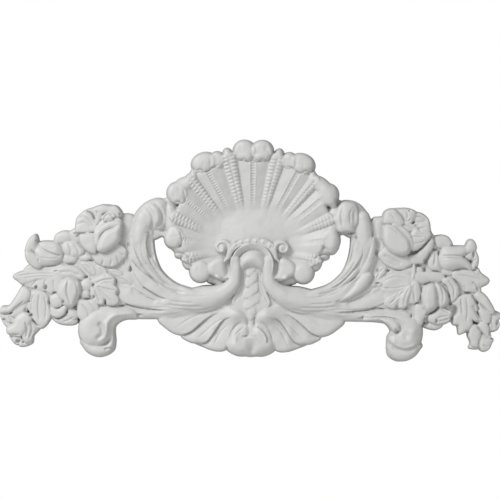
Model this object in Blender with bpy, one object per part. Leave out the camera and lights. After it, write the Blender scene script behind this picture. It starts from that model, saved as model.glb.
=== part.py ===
"""Drop onlay: a wide cast ornament for a wall, door head or mantel.

A scallop shell stands in the middle over an arch and a stem. A scroll arm runs out to each side, round a
crescent gap, and ends in a bouquet. A fan of leaves hangs below. It is all one casting with a flat back.

The carving is a surface of heights above the flat back. It is drawn in drawing units of a little over a
millimetre, with x to the right, z up and the origin on the back behind the boss. Each form is laid over the
last, and the higher surface shows. Where no form lies the surface is below the back, and the casting ends.
"""
import math

import bmesh
import bpy
import numpy as np

# Driving sizes, in metres
WIDTH = 0.605
PROJECTION = 0.032
CARVING_STEP = 0.0012
EDGE_SOFTENING = 0.0006

# The share of the carved grid's faces that is kept. Flat stretches give up more of theirs than carved ones.
KEPT_FACES = 0.038

# The drawing's own width and depth, which set its unit from the width and its heights from the projection
UNITS_ACROSS = 504.4
UNITS_DEEP = 25.8
UNIT = WIDTH / UNITS_ACROSS
HEIGHT_UNIT = PROJECTION / UNITS_DEEP
SOFTENING = EDGE_SOFTENING / UNIT

# The sheet that is carved reaches a little past the forms on every side
SHEET_MARGIN = 3.8
SHEET_REACH = UNITS_ACROSS / 2 + SHEET_MARGIN
SHEET_BOTTOM = -104.0
SHEET_TOP = 130.0

# Heights and falls, in drawing units
GROUND = -8.0
WALL_BEND = 6.0
WALL_REACH = 4.0
PIT_FLOOR = 9.0
PETAL_FALL = 5.5
CREASE_SHARE = 0.4

# The shell: its centre and smooth heart, the rim by angle, and how wide each kind of ray is
RAY_CENTRE_Z = 7.0
HEART = (47.0, 32.0)
HEART_Z = 20.0
KNOB_ANGLES = (0.0, 28.5, 50.9, 78.6, 109.7, 140.0)
RIM_ANGLES = (0, 10, 14.25, 19, 28.5, 35.5, 39.7, 44, 50.9, 60, 66, 71, 78.6, 90, 95, 100, 109.7, 125, 140)
RIM_REACH = (100, 103, 106.5, 102, 98, 99, 103, 99, 90, 88, 92, 84, 74, 68, 71, 62, 47, 42, 30)
ROOF_SHARE = 0.335
ROUND_SHARE = 0.165

# The stem's leaf scales: the height, half width and hand of each
SCALES = ((-49, 5, -1), (-44, 8, 1), (-38, 8, -1), (-33, 8, 1), (-27, 6.5, -1), (-22, 6.5, 1),
          (-16, 5.5, -1), (-11, 5.5, 1))


def curve(points, spans=6):
    """A smooth open line through all the points."""
    p = np.array(points, float)
    p = np.vstack([2 * p[0] - p[1], p, 2 * p[-1] - p[-2]])
    return np.vstack([spline(*four, spans) for four in zip(p, p[1:], p[2:], p[3:])] + [p[-2:-1]])


def ring(points, spans=5):
    """A smooth closed outline through all the points."""
    p = np.array(points, float)
    p = np.vstack([p[-1:], p, p[:2]])
    return np.vstack([spline(*four, spans) for four in zip(p, p[1:], p[2:], p[3:])] + [p[1:2]])


def spline(a, b, c, d, spans):
    """Points from b towards c on the curve through a, b, c and d."""
    t = np.linspace(0, 1, spans, endpoint=False)[:, None]
    return 0.5 * (2 * b + (c - a) * t + (2 * a - 5 * b + 4 * c - d) * t**2 + (3 * b - 3 * c + d - a) * t**3)


def along(sizes, share):
    """A size at each share of a line's length: one number, or a few that are evenly spaced along it."""
    if np.isscalar(sizes):
        return np.full_like(share, float(sizes))
    table = curve([[size] for size in sizes], 8)[:, 0]
    return np.interp(share, np.linspace(0, 1, len(table)), table)


def nearest(path, x, z):
    """How far along a path each point lies, as a share of its length, and how far to its left."""
    steps = path[1:] - path[:-1]
    lengths = np.maximum(np.hypot(steps[:, 0], steps[:, 1]), 1e-9)
    starts = np.concatenate([[0], np.cumsum(lengths)])
    best = np.full(x.shape, np.inf)
    share = np.zeros(x.shape)
    side = np.ones(x.shape)
    for (px, pz), (dx, dz), length, start in zip(path, steps, lengths, starts):
        rx = x - px
        rz = z - pz
        t = np.clip((rx * dx + rz * dz) / length**2, 0, 1)
        gap = (rx - t * dx)**2 + (rz - t * dz)**2
        closer = gap < best
        best[closer] = gap[closer]
        share[closer] = ((start + t * length) / starts[-1])[closer]
        side[closer] = np.where(dx * rz - dz * rx >= 0, 1.0, -1.0)[closer]
    return share, side * np.sqrt(best)


def depth_inside(outline, x, z):
    """How far each point lies inside a closed outline, negative outside it."""
    crossings = np.zeros(x.shape, int)
    for (ax, az), (bx, bz) in zip(outline[:-1], outline[1:]):
        if az != bz:
            crossings += ((az > z) != (bz > z)) & (x < ax + (z - az) * (bx - ax) / (bz - az))
    return np.where(crossings % 2 == 1, 1.0, -1.0) * np.abs(nearest(outline, x, z)[1])


def shoulder(inside, rounding, draft):
    """How far a form has dropped near its edge: a rounded shoulder, then a wall that gets steeper."""
    near = np.clip(inside, 0, rounding)
    past = np.minimum(inside, 0)
    return rounding - np.sqrt(rounding**2 - (rounding - near)**2) - draft * past + WALL_BEND * past**2


def smoothed(field, reach):
    """A field of values with every value shared out over its neighbours within a few grid steps."""
    span = max(1, math.ceil(2.5 * reach))
    offsets = np.arange(-span, span + 1)
    weights = np.exp(-(offsets / reach)**2 / 2)
    weights /= weights.sum()
    for axis in (0, 1):
        field = sum(weight * np.roll(field, offset, axis) for offset, weight in zip(offsets, weights))
    return field


class Carving:
    """Heights above the flat back over a grid of points, built up form by form, in drawing units."""

    def __init__(self, x, z):
        self.x = x
        self.z = z
        self.step = x[0, 1] - x[0, 0]
        self.height = np.full(x.shape, GROUND)
        self.hand = 1

    def place(self, points):
        """Points drawn for the left side, set on the side being worked."""
        return [(x * self.hand, z) for x, z in points]

    def window(self, points, reach):
        low = np.min(points, axis=0) - reach
        high = np.max(points, axis=0) + reach
        columns = slice(*np.searchsorted(self.x[0], (low[0], high[0])))
        rows = slice(*np.searchsorted(self.z[:, 0], (low[1], high[1])))
        return rows, columns

    def lay(self, window, surface, fillet=0.0):
        """Keeps whatever is higher, with a fillet where the new form meets the old."""
        here = self.height[window]
        top = np.maximum(here, surface)
        if fillet:
            close = np.clip(1 - np.abs(here - surface) / fillet, 0, 1)
            top = top + np.where(np.minimum(here, surface) > 0, fillet * close**2 / 4, 0)
        self.height[window] = top

    def rib(self, line, half, crest, crown=2.0, tilt=0.0, power=2.0, rounding=1.2, draft=4.0, fillet=0.0):
        """A roll or leaf along a line, given its half width, crest, crown and tilt along the way."""
        path = curve(self.place(line))
        window = self.window(path, np.max(half) + WALL_REACH)
        share, side = nearest(path, self.x[window], self.z[window])
        width = np.maximum(along(half, share), 0.25)
        across = np.clip(side / width, -1, 1)
        surface = along(crest, share) - along(crown, share) * np.abs(across)**along(power, share)
        surface += self.hand * along(tilt, share) * across
        self.lay(window, surface - shoulder(width - np.abs(side), rounding, draft), fillet)

    def lobe(self, outline, top, puff=2.0, fall=5.0, slope=(0, 0), rounding=1.2, draft=4.0, fillet=0.0):
        """A petal, leaf or plate inside an outline, puffed up from its edge and tipped by its slope."""
        path = ring(self.place(outline))
        window = self.window(path, WALL_REACH)
        inside = depth_inside(path, self.x[window], self.z[window])
        middle = path.mean(axis=0)
        domed = smoothed(inside, 0.18 * fall / self.step)
        surface = top - puff * np.clip(1 - domed / fall, 0, 1)**2
        surface += slope[0] * self.hand * (self.x[window] - middle[0])
        surface += slope[1] * (self.z[window] - middle[1])
        self.lay(window, surface - shoulder(inside, rounding, draft), fillet)

    def knob(self, x, z, across, up, top, base, turn=0.0, power=2.4, full=0.55, draft=4.0, fillet=0.0):
        """A ball or bead: its middle, half sizes, top and base heights, and how far it is turned."""
        middle_x = x * self.hand
        window = self.window([(middle_x, z)], max(across, up) + WALL_REACH)
        c = math.cos(math.radians(turn * self.hand))
        s = math.sin(math.radians(turn * self.hand))
        dx = self.x[window] - middle_x
        dz = self.z[window] - z
        out = np.hypot((c * dx + s * dz) / across, (c * dz - s * dx) / up)
        surface = base + (top - base) * (1 - np.clip(out, 0, 1)**power)**full
        self.lay(window, surface - shoulder((1 - out) * min(across, up), 1.6, draft), fillet)

    def cut(self, line, half, depth, fade=8.0):
        """A groove along a line that fades out at its ends. A negative depth makes a ridge."""
        path = curve(self.place(line))
        window = self.window(path, 3 * np.max(half) + 1)
        share, side = nearest(path, self.x[window], self.z[window])
        ends = np.clip(fade * np.minimum(share, 1 - share) + 0.05, 0, 1)
        surface = self.height[window]
        taken = ends * along(depth, share) * np.exp(-(side / along(half, share))**2)
        self.height[window] = surface - np.where(surface > 0, taken, 0)

    def fold(self, line, reach, depth, fade=8.0):
        """An overlap along a line: the surface drops to the left of the line, then comes back up."""
        path = curve(self.place(line))
        window = self.window(path, 3 * reach + 1)
        share, side = nearest(path, self.x[window], self.z[window])
        ends = np.clip(fade * np.minimum(share, 1 - share) + 0.05, 0, 1)
        past = side * self.hand
        surface = self.height[window]
        edge = np.clip(past / 0.6 + 0.5, 0, 1)
        tail = np.exp(-np.clip(past / reach, 0, None)**1.5)
        crease = CREASE_SHARE * np.exp(-((past - 0.4) / 0.6)**2)
        taken = ends * along(depth, share) * (edge * tail + crease)
        self.height[window] = surface - np.where(surface > 0, taken, 0)

    def swell(self, x, z, across, up, rise):
        """A soft swelling, or a hollow when the rise is negative: its middle, half sizes and rise."""
        window = self.window([(x * self.hand, z)], 2.5 * max(across, up))
        away = ((self.x[window] - x * self.hand) / across)**2 + ((self.z[window] - z) / up)**2
        surface = self.height[window]
        self.height[window] = surface + np.where(surface > 0, rise * np.exp(-away), 0)

    def pits(self, spots):
        """Deep little hollows where petals part: the middle, half sizes and depth of each."""
        for x, z, across, up, depth in spots:
            window = self.window([(x * self.hand, z)], 2.2 * max(across, up))
            out = np.hypot((self.x[window] - x * self.hand) / across, (self.z[window] - z) / up)
            surface = self.height[window]
            sunk = np.maximum(surface - depth * np.exp(-out**3), PIT_FLOOR)
            self.height[window] = np.where(surface > PIT_FLOOR, sunk, surface)

    def soften(self, radius):
        """Rounds every edge a little, as paint on a casting does."""
        self.height = smoothed(self.height, radius / self.step)


def shell_places(work):
    """Where each point lies on the shell: how far out, at what angle, and where across its ray."""
    window = work.window([(-92, -28), (92, 118)], 2)
    x = np.abs(work.x[window])
    z = work.z[window] - RAY_CENTRE_Z
    reach = np.hypot(x, z)
    angle = np.degrees(np.arctan2(x, z))
    edge = np.interp(angle, RIM_ANGLES, RIM_REACH)
    out = np.clip(reach / edge, 0, 1)
    swept = angle + np.clip(angle - 60, 0, None) * 0.4 * (1 - out)
    ray = np.clip(np.searchsorted(KNOB_ANGLES, swept, side="right") - 1, 0, len(KNOB_ANGLES) - 2)
    first = np.take(KNOB_ANGLES, ray)
    gap = np.take(KNOB_ANGLES, ray + 1) - first
    share = np.clip((swept - first) / gap, 0, 1)
    heart = np.hypot(work.x[window] / HEART[0], (work.z[window] - HEART_Z) / HEART[1])
    return window, reach, edge, angle, out, np.radians(gap) * reach, share, heart


def shell(work):
    """The scallop: roofed rays that end in knobs, rounded rays between them, and a smooth heart."""
    window, reach, edge, angle, out, ray_width, share, heart = shell_places(work)
    from_roof = np.minimum(share, 1 - share)
    from_round = np.abs(share - 0.5)
    begun = np.clip((heart - 0.85) / 0.6, 0, 1)
    grown = begun**2 * (3 - 2 * begun) * (0.45 + 0.55 * np.clip((out - 0.42) / 0.5, 0, 1))
    roof = 2.5 * (1 - np.clip(from_roof / ROOF_SHARE, 0, 1)**2)
    strip = np.exp(-(from_roof * ray_width / (1.1 + 1.7 * out))**4)
    rounded = 4.6 * np.sqrt(1 - np.clip(from_round / ROUND_SHARE, 0, 1)**2.2) - 1.2
    surface = 10.5 + 7 * np.clip((out - 0.45) / 0.5, 0, 1) + grown * np.maximum(roof - 0.9 * strip, rounded)
    surface += 5.5 * np.clip(1 - (heart / 1.15)**2, 0, 1)**2
    surface -= shoulder(edge - reach, 3.0, 4.0)
    work.lay(window, np.where(angle < 138, surface, GROUND))


def shell_knobs(work):
    """The rolled tips on the rim: the double one at the top, and four to each side with lobes between."""
    for work.hand in (1, -1):
        work.lobe([(-20, 103), (-19, 112), (-14, 117), (-16, 108), (-13, 102)], 20, puff=3, fall=4)
        work.knob(-8.6, 111.3, 11.0, 10.2, 22.6, 17.5, turn=-12, power=3.0, full=0.5, fillet=7)
        work.knob(-4.0, 104.4, 4.6, 5.0, 20.6, 16, turn=10, fillet=2.5)
        work.knob(-13.5, 104.8, 4.8, 4.6, 20.4, 16, turn=-10, fillet=2.5)
        work.knob(-25.5, 107, 4.4, 6.0, 20.5, 16, turn=15, fillet=1.5)
        work.knob(-36.0, 101.5, 7.6, 8.2, 21.0, 16.5, turn=10, power=3.0, full=0.5, fillet=4)
        work.knob(-49.2, 98.8, 12.4, 9.8, 22.4, 16.5, turn=20, power=3.0, full=0.5, fillet=5)
        work.knob(-54.5, 92.6, 5.0, 3.6, 20.4, 16, turn=25, fillet=2)
        work.knob(-45.5, 92.4, 4.6, 3.4, 20.2, 16, turn=5, fillet=2)
        work.lobe([(-60, 92), (-62.5, 89), (-67, 84.5), (-73, 82), (-77, 77), (-70, 68), (-60, 74),
                   (-55, 86)], 20.5, puff=3.5, fall=6)
        work.knob(-75.4, 67.8, 10.3, 11.0, 21.8, 16.5, turn=15, power=3.0, full=0.5, fillet=4)
        work.knob(-70.4, 59.6, 4.0, 4.2, 20.0, 16, fillet=2)
        work.lobe([(-86, 57), (-79, 56), (-74.5, 48), (-73, 40), (-75, 30), (-86, 30), (-88, 44)], 18.5,
                  puff=4, fall=7)
        work.knob(-78.0, 23.5, 9.7, 11.0, 20.6, 15.5, turn=-15, power=3.0, full=0.5, fillet=4)
        work.lobe([(-82, 15), (-77.5, 9), (-76.5, 4.5), (-72.5, 3), (-68, 4.5), (-62, 8), (-66, 15),
                   (-73, 17)], 17, puff=3, fall=5)
        work.fold([(-78, 7), (-72, 7.8), (-66, 6), (-62, 3)], 2.5, 2.4)
        work.lobe([(-69, 1.5), (-68.5, -4), (-64, -8), (-56, -6), (-54, 2), (-62, 8)], 15.5, puff=2.5,
                  fall=5)
        work.knob(-51.6, -10, 10.6, 10.9, 19.6, 14.5, power=3.0, full=0.5, fillet=4)
        work.lobe([(-47, -4), (-45, -19), (-40, -22), (-24, -24), (-19, -10), (-28, 2)], 11)
    work.lobe([(-61, 86), (-69, 85), (-77, 78.5), (-83.5, 69), (-84.6, 61), (-81, 55), (-75, 58), (-69, 66),
               (-63, 76)], 22.8, puff=5, fall=9, fillet=5)
    work.lobe([(-79, 37), (-84, 33.5), (-87, 25), (-86, 15), (-81, 9), (-75.5, 12), (-72.5, 24), (-75, 34)],
              21.4, puff=5, fall=8, fillet=5)
    work.hand = 1
    work.cut([(-1.0, 124), (-0.8, 112), (-0.4, 102)], 1.4, 0.6, fade=20)


def palmette(work):
    """The fan below: three stepped leaves to each side that spring from two shoulders, and a bulb."""
    for work.hand in (1, -1):
        work.lobe([(4, -34), (-30, -34), (-70, -43), (-93, -58), (-84, -68), (-70, -73), (-59, -81),
                   (-44, -87), (-25, -88), (4, -82)], 6.5)
        work.lobe([(-3, -57), (-6, -51), (-10, -48), (-16, -44), (-30, -40), (-50, -40), (-76, -46),
                   (-86, -51.5), (-93.3, -59.2), (-84.4, -68), (-77, -72.5), (-70, -74.5), (-68.5, -77),
                   (-60, -81.3), (-51, -82.3), (-47, -85.7), (-36, -89.3), (-26, -88.5), (-19, -80),
                   (-8, -66), (-4, -64)], 13, puff=2, fall=5, slope=(0.02, -0.02))
        work.fold([(-30, -51), (-38, -53), (-47, -59), (-55, -66), (-62, -71.3), (-72, -74.6)], 8,
                  [0, 2, 3.2, 3.4, 3.4])
        work.fold([(-18, -54.5), (-28, -58.3), (-34, -66), (-40, -75), (-45, -80.5), (-53, -82.6)], 8,
                  [0, 2.5, 3.2, 3.2, 3.2])
        work.fold([(-24, -44), (-45, -48), (-66, -52), (-84, -60)], 5, [0, 0.9, 0.9, 0])
        work.swell(-15, -53, 11, 8, 5.0)
        work.swell(-38, -74, 4, 9, 1.2)
        work.swell(-57, -71, 5, 7, 1.0)
        work.lobe([(-8, -59.5), (-14.5, -62.5), (-19.5, -68.5), (-23.3, -76), (-25.2, -84), (-22.5, -89.5),
                   (-14, -93.8), (-6, -94.2), (3, -92), (1, -66), (-2, -62.5)], 18, puff=6.5, fall=10,
                  slope=(0, 0.03), rounding=1.8, fillet=2.5)
        work.fold([(-15.4, -82), (-15.2, -75), (-11.4, -68.8), (-5, -64)], 4, [0.5, 2.4, 2.6, 1.0])
    work.hand = 1
    work.lobe([(-10, -80), (-9.3, -76), (-5, -73), (0.5, -71.8), (6, -73), (10.3, -76.5), (11, -82),
               (7, -88), (0, -89), (-7, -87)], 17.8, puff=2, fall=5, slope=(0, 0.16), rounding=1.2,
              fillet=1.0)
    work.swell(0.6, -84.5, 4.5, 5, -1.6)
    work.pits(((-6, -74.3, 3.6, 0.8, 1), (-24.3, -88, 1.3, 2.2, 3.5)))


def stem(work):
    """The stem under the boss, edged by fillets and laid with leaf scales to left and right in turn."""
    work.lobe([(-14, -26), (14, -26), (32, -38), (26, -50), (3, -60), (2, -72), (-2, -72), (-3, -60),
               (-26, -50), (-32, -38)], 12)
    work.rib([(0, 4), (0, -12), (0, -28), (-0.5, -42), (-0.9, -58)], [10.5, 10.5, 14, 19, 0.8],
             [15, 14.5, 14.5, 15, 15], crown=0.5)
    work.rib([(-0.5, -50), (0, -60), (0.4, -71)], [3.4, 3.2, 3], [15.6, 15.2, 15.6], crown=2, fillet=3)
    for work.hand in (1, -1):
        work.cut([(-9.2, -8), (-9.2, -20), (-12, -32), (-17, -41)], 0.8, 1.0)
        work.cut([(-7.0, -8), (-7.0, -20), (-9, -30), (-12, -37)], 0.8, 1.0)
    for z, half, work.hand in SCALES:
        work.lobe([(-half, z + 6), (0.2 * half, z + 8), (0.8 * half, z + 4), (0.4 * half, z + 0.5),
                   (-0.3 * half, z - 3.5), (-half, z - 2.5)], 15.8, puff=1.2, fall=3, slope=(0.05, -0.16),
                  rounding=0.8)


def arch(work):
    """The arch over the boss: a lace band, a cove, corner leaves and a volute at each end."""
    for work.hand in (1, -1):
        work.lobe([(-44, -4), (-38, 2), (-31, 4.5), (-27, 2), (-26, -5), (-23.5, -17), (-26, -19.3),
                   (-31, -18.6), (-36, -16), (-43, -12)], 19, puff=3, fall=5, slope=(-0.12, 0.02))
        work.rib([(-27.5, 0), (-23.2, 6), (-22.2, 13.5), (-25.5, 19), (-31.5, 19.8), (-35.3, 15.5),
                  (-33.5, 11), (-29.5, 10.8), (-29, 14)], [1.4, 1.9, 2.3, 2.4, 2.2, 2.0, 1.8, 1.7, 1.7],
                 [17.5, 19, 19.2, 19.2, 18.6, 18.2, 18.2, 18.6, 19], crown=1.3)
        work.knob(-30, 14, 5.5, 5.5, 18, 13)
    work.hand = 1
    work.rib([(-24, 4), (-19.8, 14.2), (-11, 19.8), (0, 21), (11, 19.8), (19.8, 14.2), (24, 4)],
             [2, 3.6, 3.9, 3.9, 3.9, 3.6, 2], [19, 20, 20, 20, 20, 20, 19], crown=0.8)
    work.rib([(-17.4, -10), (-17.6, -1), (-14.5, 8), (-8, 13.4), (0.3, 15.2), (8.6, 13.2), (15.2, 8),
              (18.4, -1), (17.6, -10)], 3.1, [18.5, 19, 19, 19, 19, 19, 19, 19, 18.5], crown=0.5, tilt=2.4,
             rounding=0.8)
    work.lobe([(-14.5, -1), (-12, 5.5), (-8, 9.5), (-2, 12.3), (4, 12.3), (10, 9.5), (14, 4), (15.5, -2),
               (12, -9), (6, -6.5), (0, -5.5), (-6, -6.5), (-11, -9)], 22.5, puff=7.5, fall=10,
              rounding=0.8)


def arm(work):
    """A scroll arm: long flat leaves that overlap, and flow out of one big roll beside the stem."""
    work.rib([(-28, -42), (-50, -47.5), (-75, -52), (-100, -52), (-125, -52), (-150, -54)],
             [4, 5, 5.5, 6, 6.5, 8], [14, 14, 14, 13.5, 14, 14], crown=2.2, tilt=-1.6, fillet=2)
    work.rib([(-60, -42), (-85, -45), (-108, -42), (-128, -36), (-146, -40)], [6, 8, 9, 9, 8],
             [16, 15.5, 15.5, 15, 13], crown=1.6, fillet=2)
    work.rib([(-70, -36), (-92, -34), (-112, -26), (-128, -18), (-138, -16)], [7, 9, 9, 8, 5],
             [17, 16.5, 16, 15, 14], crown=1.4, fillet=2)
    work.rib([(-92, -26), (-108, -12), (-117, 6), (-120, 24), (-118, 38)], [8, 9, 8, 6, 4],
             [17, 17, 16.5, 15.5, 14], crown=1.8, fillet=2)
    work.rib([(-60, -34), (-80, -30.5), (-96, -18), (-104, -2), (-107, 14), (-106, 30)],
             [6, 9, 9.5, 9, 8.5, 7], [17.5, 17.5, 17.5, 17.5, 17.5, 18], crown=2.4, power=2.6, fillet=2)
    work.rib([(-16.8, 2), (-16.6, -12), (-19.5, -23), (-33, -33.5), (-56, -39), (-78, -38), (-98, -30)],
             [5, 6, 8.8, 12.6, 11.3, 9.5, 5.5], [20.5, 20.5, 20.3, 19.8, 18.8, 17.6, 15.5],
             crown=[3, 3, 5, 6, 4.5, 3, 1.5], power=[3, 3, 2.6, 2, 2, 2, 2], fillet=1.5)
    work.fold([(-83, -38.5), (-92, -35.5), (-100, -31), (-108, -26), (-114, -20), (-119, -12)], 5,
              [1.0, 3.2, 3.4, 3.2, 2.4])
    work.fold([(-84, -49.4), (-100, -48), (-113, -46.5), (-123, -44), (-134, -39)], 4, [1, 3, 3.2, 3.2])
    work.fold([(-108, -54), (-122, -52), (-136, -51)], 3, 2.2)
    work.fold([(-94, -40), (-104, -36), (-112, -32), (-120, -27)], 5, 1.8)
    work.fold([(-121, 1), (-113, -8), (-104, -15), (-95, -21), (-85, -27), (-76, -31.5), (-68, -34.5)], 8,
              2.1)
    work.fold([(-104, 29), (-106, 20), (-105, 12), (-101, 1)], 7, 2.8)
    work.cut([(-122, 25), (-117, 20), (-113, 12), (-109, 4), (-103, -5), (-96.5, -12.5), (-88, -21),
              (-78, -27)], 0.8, 2.0)
    work.cut([(-119, 26), (-114.5, 18), (-111, 11), (-106.5, 3), (-101, -5)], 1.2, -0.9)
    work.cut([(-138, -22), (-128, -23.5), (-118, -25)], 0.9, 1.6)
    for ridge in (((-136, -14), (-127, -18), (-119, -22)), ((-129, 16), (-124, 6), (-119.5, -2)),
                  ((-105.5, 25), (-106.3, 15), (-103, 4)), ((-112, -9), (-100, -18.5), (-86, -27.5))):
        work.cut(ridge, 0.9, -0.9)
    for streak in (((-82, -39.5), (-72, -41), (-58, -41.5)), ((-86, -43), (-70, -45), (-48, -45)),
                   ((-112, -4), (-108, -10), (-98, -19)), ((-76, -48), (-55, -49.5), (-38, -46)),
                   ((-102, 22), (-101.5, 10), (-98, 0)), ((-90, -22), (-78, -29), (-66, -31.5))):
        work.cut(streak, 0.9, 0.9)


def left_foot(work):
    """The scroll that the left arm stands on: a big smooth disc with a leaf rolled under it."""
    work.lobe([(-128, -50), (-136, -66), (-135.5, -82), (-138, -91), (-149, -96), (-163, -89.5),
               (-171.5, -79), (-172, -65), (-160, -48), (-140, -44)], 12, puff=3, fall=7, rounding=2)
    work.rib([(-168, -82), (-160, -88.5), (-150, -90.5), (-142, -87), (-138.8, -79), (-139, -72)],
             [3, 5, 6, 5, 3.2, 2], [14, 16, 16.5, 16, 15.5, 15], crown=3.5, fillet=2)
    work.lobe([(-118, -49), (-135, -46.5), (-150, -46), (-164, -51), (-171.5, -62), (-171.8, -74),
               (-167, -82.7), (-159, -85.7), (-150, -85), (-142.5, -80.5), (-137.5, -74), (-136.2, -66),
               (-131, -61), (-124, -58.5), (-114, -57.5)], 19, puff=4.5, fall=11, slope=(-0.02, 0),
              rounding=1.4, fillet=2)
    work.cut([(-153, -62), (-149, -67), (-149, -74), (-155, -79)], 2.4, 2.2)
    work.cut([(-112, -53.5), (-126, -53), (-137, -55.5), (-143.5, -62), (-144.5, -71), (-147, -78),
              (-155, -83)], 2.4, [0, -1.2, -1.4, -1.6, -3, -2, 0])
    work.fold([(-137, -88.2), (-142, -87), (-147, -88.6)], 2.0, 1.8)


def right_foot(work):
    """The scroll that the right arm stands on, with a lobed leaf tip beside its neck."""
    work.lobe([(-128, -50), (-139, -66), (-136.5, -73), (-136, -82), (-137.5, -92), (-147, -97.5),
               (-158, -94.5), (-166, -88), (-170.5, -78), (-171, -64), (-160, -48), (-140, -44)], 12,
              puff=3, fall=7, rounding=2)
    work.rib([(-168.5, -82), (-160, -88.5), (-149, -90.3), (-142.5, -87.5), (-139.5, -84)],
             [3, 5, 6.8, 6.2, 3.5], [14, 15.5, 16, 15.5, 14.5], crown=3.5, fillet=2)
    work.lobe([(-118, -49), (-140, -47), (-158, -49), (-168, -56), (-171.3, -66), (-169.8, -77),
               (-163, -84.5), (-153, -87), (-144, -84), (-138.3, -79), (-137.3, -73.5), (-141, -70.5),
               (-147, -69), (-147, -63), (-138, -58.5), (-124, -57.5), (-112, -57)], 19, puff=4.5, fall=11,
              rounding=1.4, fillet=2)
    work.cut([(-140, -76), (-146, -81.5), (-155, -84), (-166, -80.5)], 1.8, -1.6)
    work.swell(-155, -71.5, 3.2, 4.4, -1.8)
    work.swell(-161, -68, 4.5, 3.5, 1.2)
    work.lobe([(-128, -55), (-136, -61), (-141, -66.5), (-143.5, -68.3), (-145.8, -67), (-148.4, -66.3),
               (-149.3, -62), (-147, -57), (-140, -53.5)], 19.5, puff=3, fall=5, slope=(0, -0.10), fillet=1)
    work.fold([(-104, -55), (-118, -53.5), (-132, -52.8), (-144, -55), (-149, -60)], 3,
              [0, 1.5, 1.5, 1.5, 0.5])
    work.cut([(-144.6, -68.5), (-144.2, -64.5)], 0.8, 1.8, fade=20)
    work.cut([(-110, -54), (-124, -51), (-138, -50), (-154, -49)], 1.2, 1.4)


def web(work, foot):
    """The plain strip behind a curl that ties it to the shell, down to the height where its gap begins."""
    work.lobe([(-107, foot - 3), (-97, foot - 2), (-91, foot + 0.8), (-86, foot), (-80, foot + 9),
               (-74, 50), (-82, 62), (-88, 62), (-98, 55), (-106, foot + 8)], 14, puff=1, slope=(-0.05, 0))


def left_curl(work):
    """The leaf end that rolls over at the top of the left arm: a broad bend with two soft hollows."""
    web(work, 24)
    work.lobe([(-121, 14), (-119, 34), (-118.3, 44), (-114, 51.5), (-106, 58.5), (-96, 62.3), (-88, 60.5),
               (-85, 55), (-84, 46), (-85, 37), (-92, 31), (-97, 31), (-101, 29.5), (-106, 24), (-106, 14)],
              21, puff=6.5, fall=12, slope=(0.03, 0), rounding=1.6, fillet=2)
    work.rib([(-109, 2), (-112, 18), (-111, 34), (-109.5, 44)], [7, 7.5, 7.5, 6], [17, 18.5, 20, 20],
             crown=3, fillet=3)
    work.cut([(-98.5, 58), (-92.5, 52.5), (-89.6, 45), (-90.5, 38), (-96, 33.5)], 1.5, 1.7)
    work.cut([(-107, 55.5), (-101.5, 48.5), (-99.4, 42), (-100.2, 34), (-102, 28.5)], 1.9, 1.8)
    work.cut([(-103, 57), (-96.8, 50.5), (-94.6, 43), (-96.2, 36)], 1.9, -0.9)
    work.pits(((-89.5, 30.3, 2.6, 1.2, 2), (-104, 28.3, 2.0, 0.9, 1)))


def right_curl(work):
    """The leaf end that rolls over at the top of the right arm: a tongue with an oval roll."""
    web(work, 28.5)
    work.lobe([(-121, 18), (-120.5, 34), (-119, 42), (-115, 50), (-108, 58), (-100, 62), (-90, 62),
               (-85, 57), (-82, 48), (-83.5, 38), (-90, 31), (-97, 29.5), (-104, 24), (-104, 14)], 18,
              puff=6, fall=9, rounding=1.6, fillet=2)
    work.rib([(-107, 4), (-112, 20), (-112, 34), (-110.5, 46)], [7, 7.5, 7.2, 6], [17, 18.5, 20, 20],
             crown=3, fillet=3)
    work.lobe([(-103.5, 58), (-96, 61), (-89.5, 60.5), (-85.5, 56), (-82, 47), (-80.6, 43.2), (-83.6, 38.5),
               (-85.5, 32), (-91, 30.2), (-100.8, 31), (-102.3, 36), (-105, 40), (-105.6, 48)], 22.6,
              puff=2.6, fall=6, slope=(0.03, 0), rounding=1.0)
    work.swell(-94, 48, 3.4, 9, 0.9)
    work.swell(-101.5, 46, 2.0, 9, -1.4)
    work.swell(-89.8, 46, 1.4, 8, -0.8)
    work.pits((
        (-96.5, 30.3, 5.0, 1.3, 4), (-85.3, 61.3, 2.6, 3.4, 5), (-119.6, 42, 1.0, 3.2, 4.5),
        (-120.2, 32, 0.8, 6.0, 2)))


def right_leaf_tips(work):
    """Where the right arm's leaves overlap: two rounded tips, the lower one in front."""
    work.lobe([(-106, -2), (-109, 10), (-112, 20), (-119, 27.5), (-123, 24), (-124, 14), (-122, 4),
               (-117.5, -8), (-110, -14)], 18.5, puff=2.5, fall=6, slope=(-0.08, 0))
    work.lobe([(-86, -37), (-98, -27), (-106, -15), (-112, -9.5), (-118.5, -9), (-120.5, -13),
               (-117, -20.5), (-112, -26.5), (-100, -34.5), (-88, -39)], 19, puff=2.5, fall=6,
              slope=(-0.04, 0))


def forms(work, rows):
    """Petals or leaves laid one over the other: the top, puff, slope and outline of each."""
    for top, puff, slope, outline in rows:
        work.lobe(outline, top, puff=puff, fall=PETAL_FALL, slope=slope, rounding=0.8)


def lines(work, rows):
    """Veins, folds and seams: the half width, depth and course of each."""
    for half, depth, line in rows:
        work.cut(line, half, depth)


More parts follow.
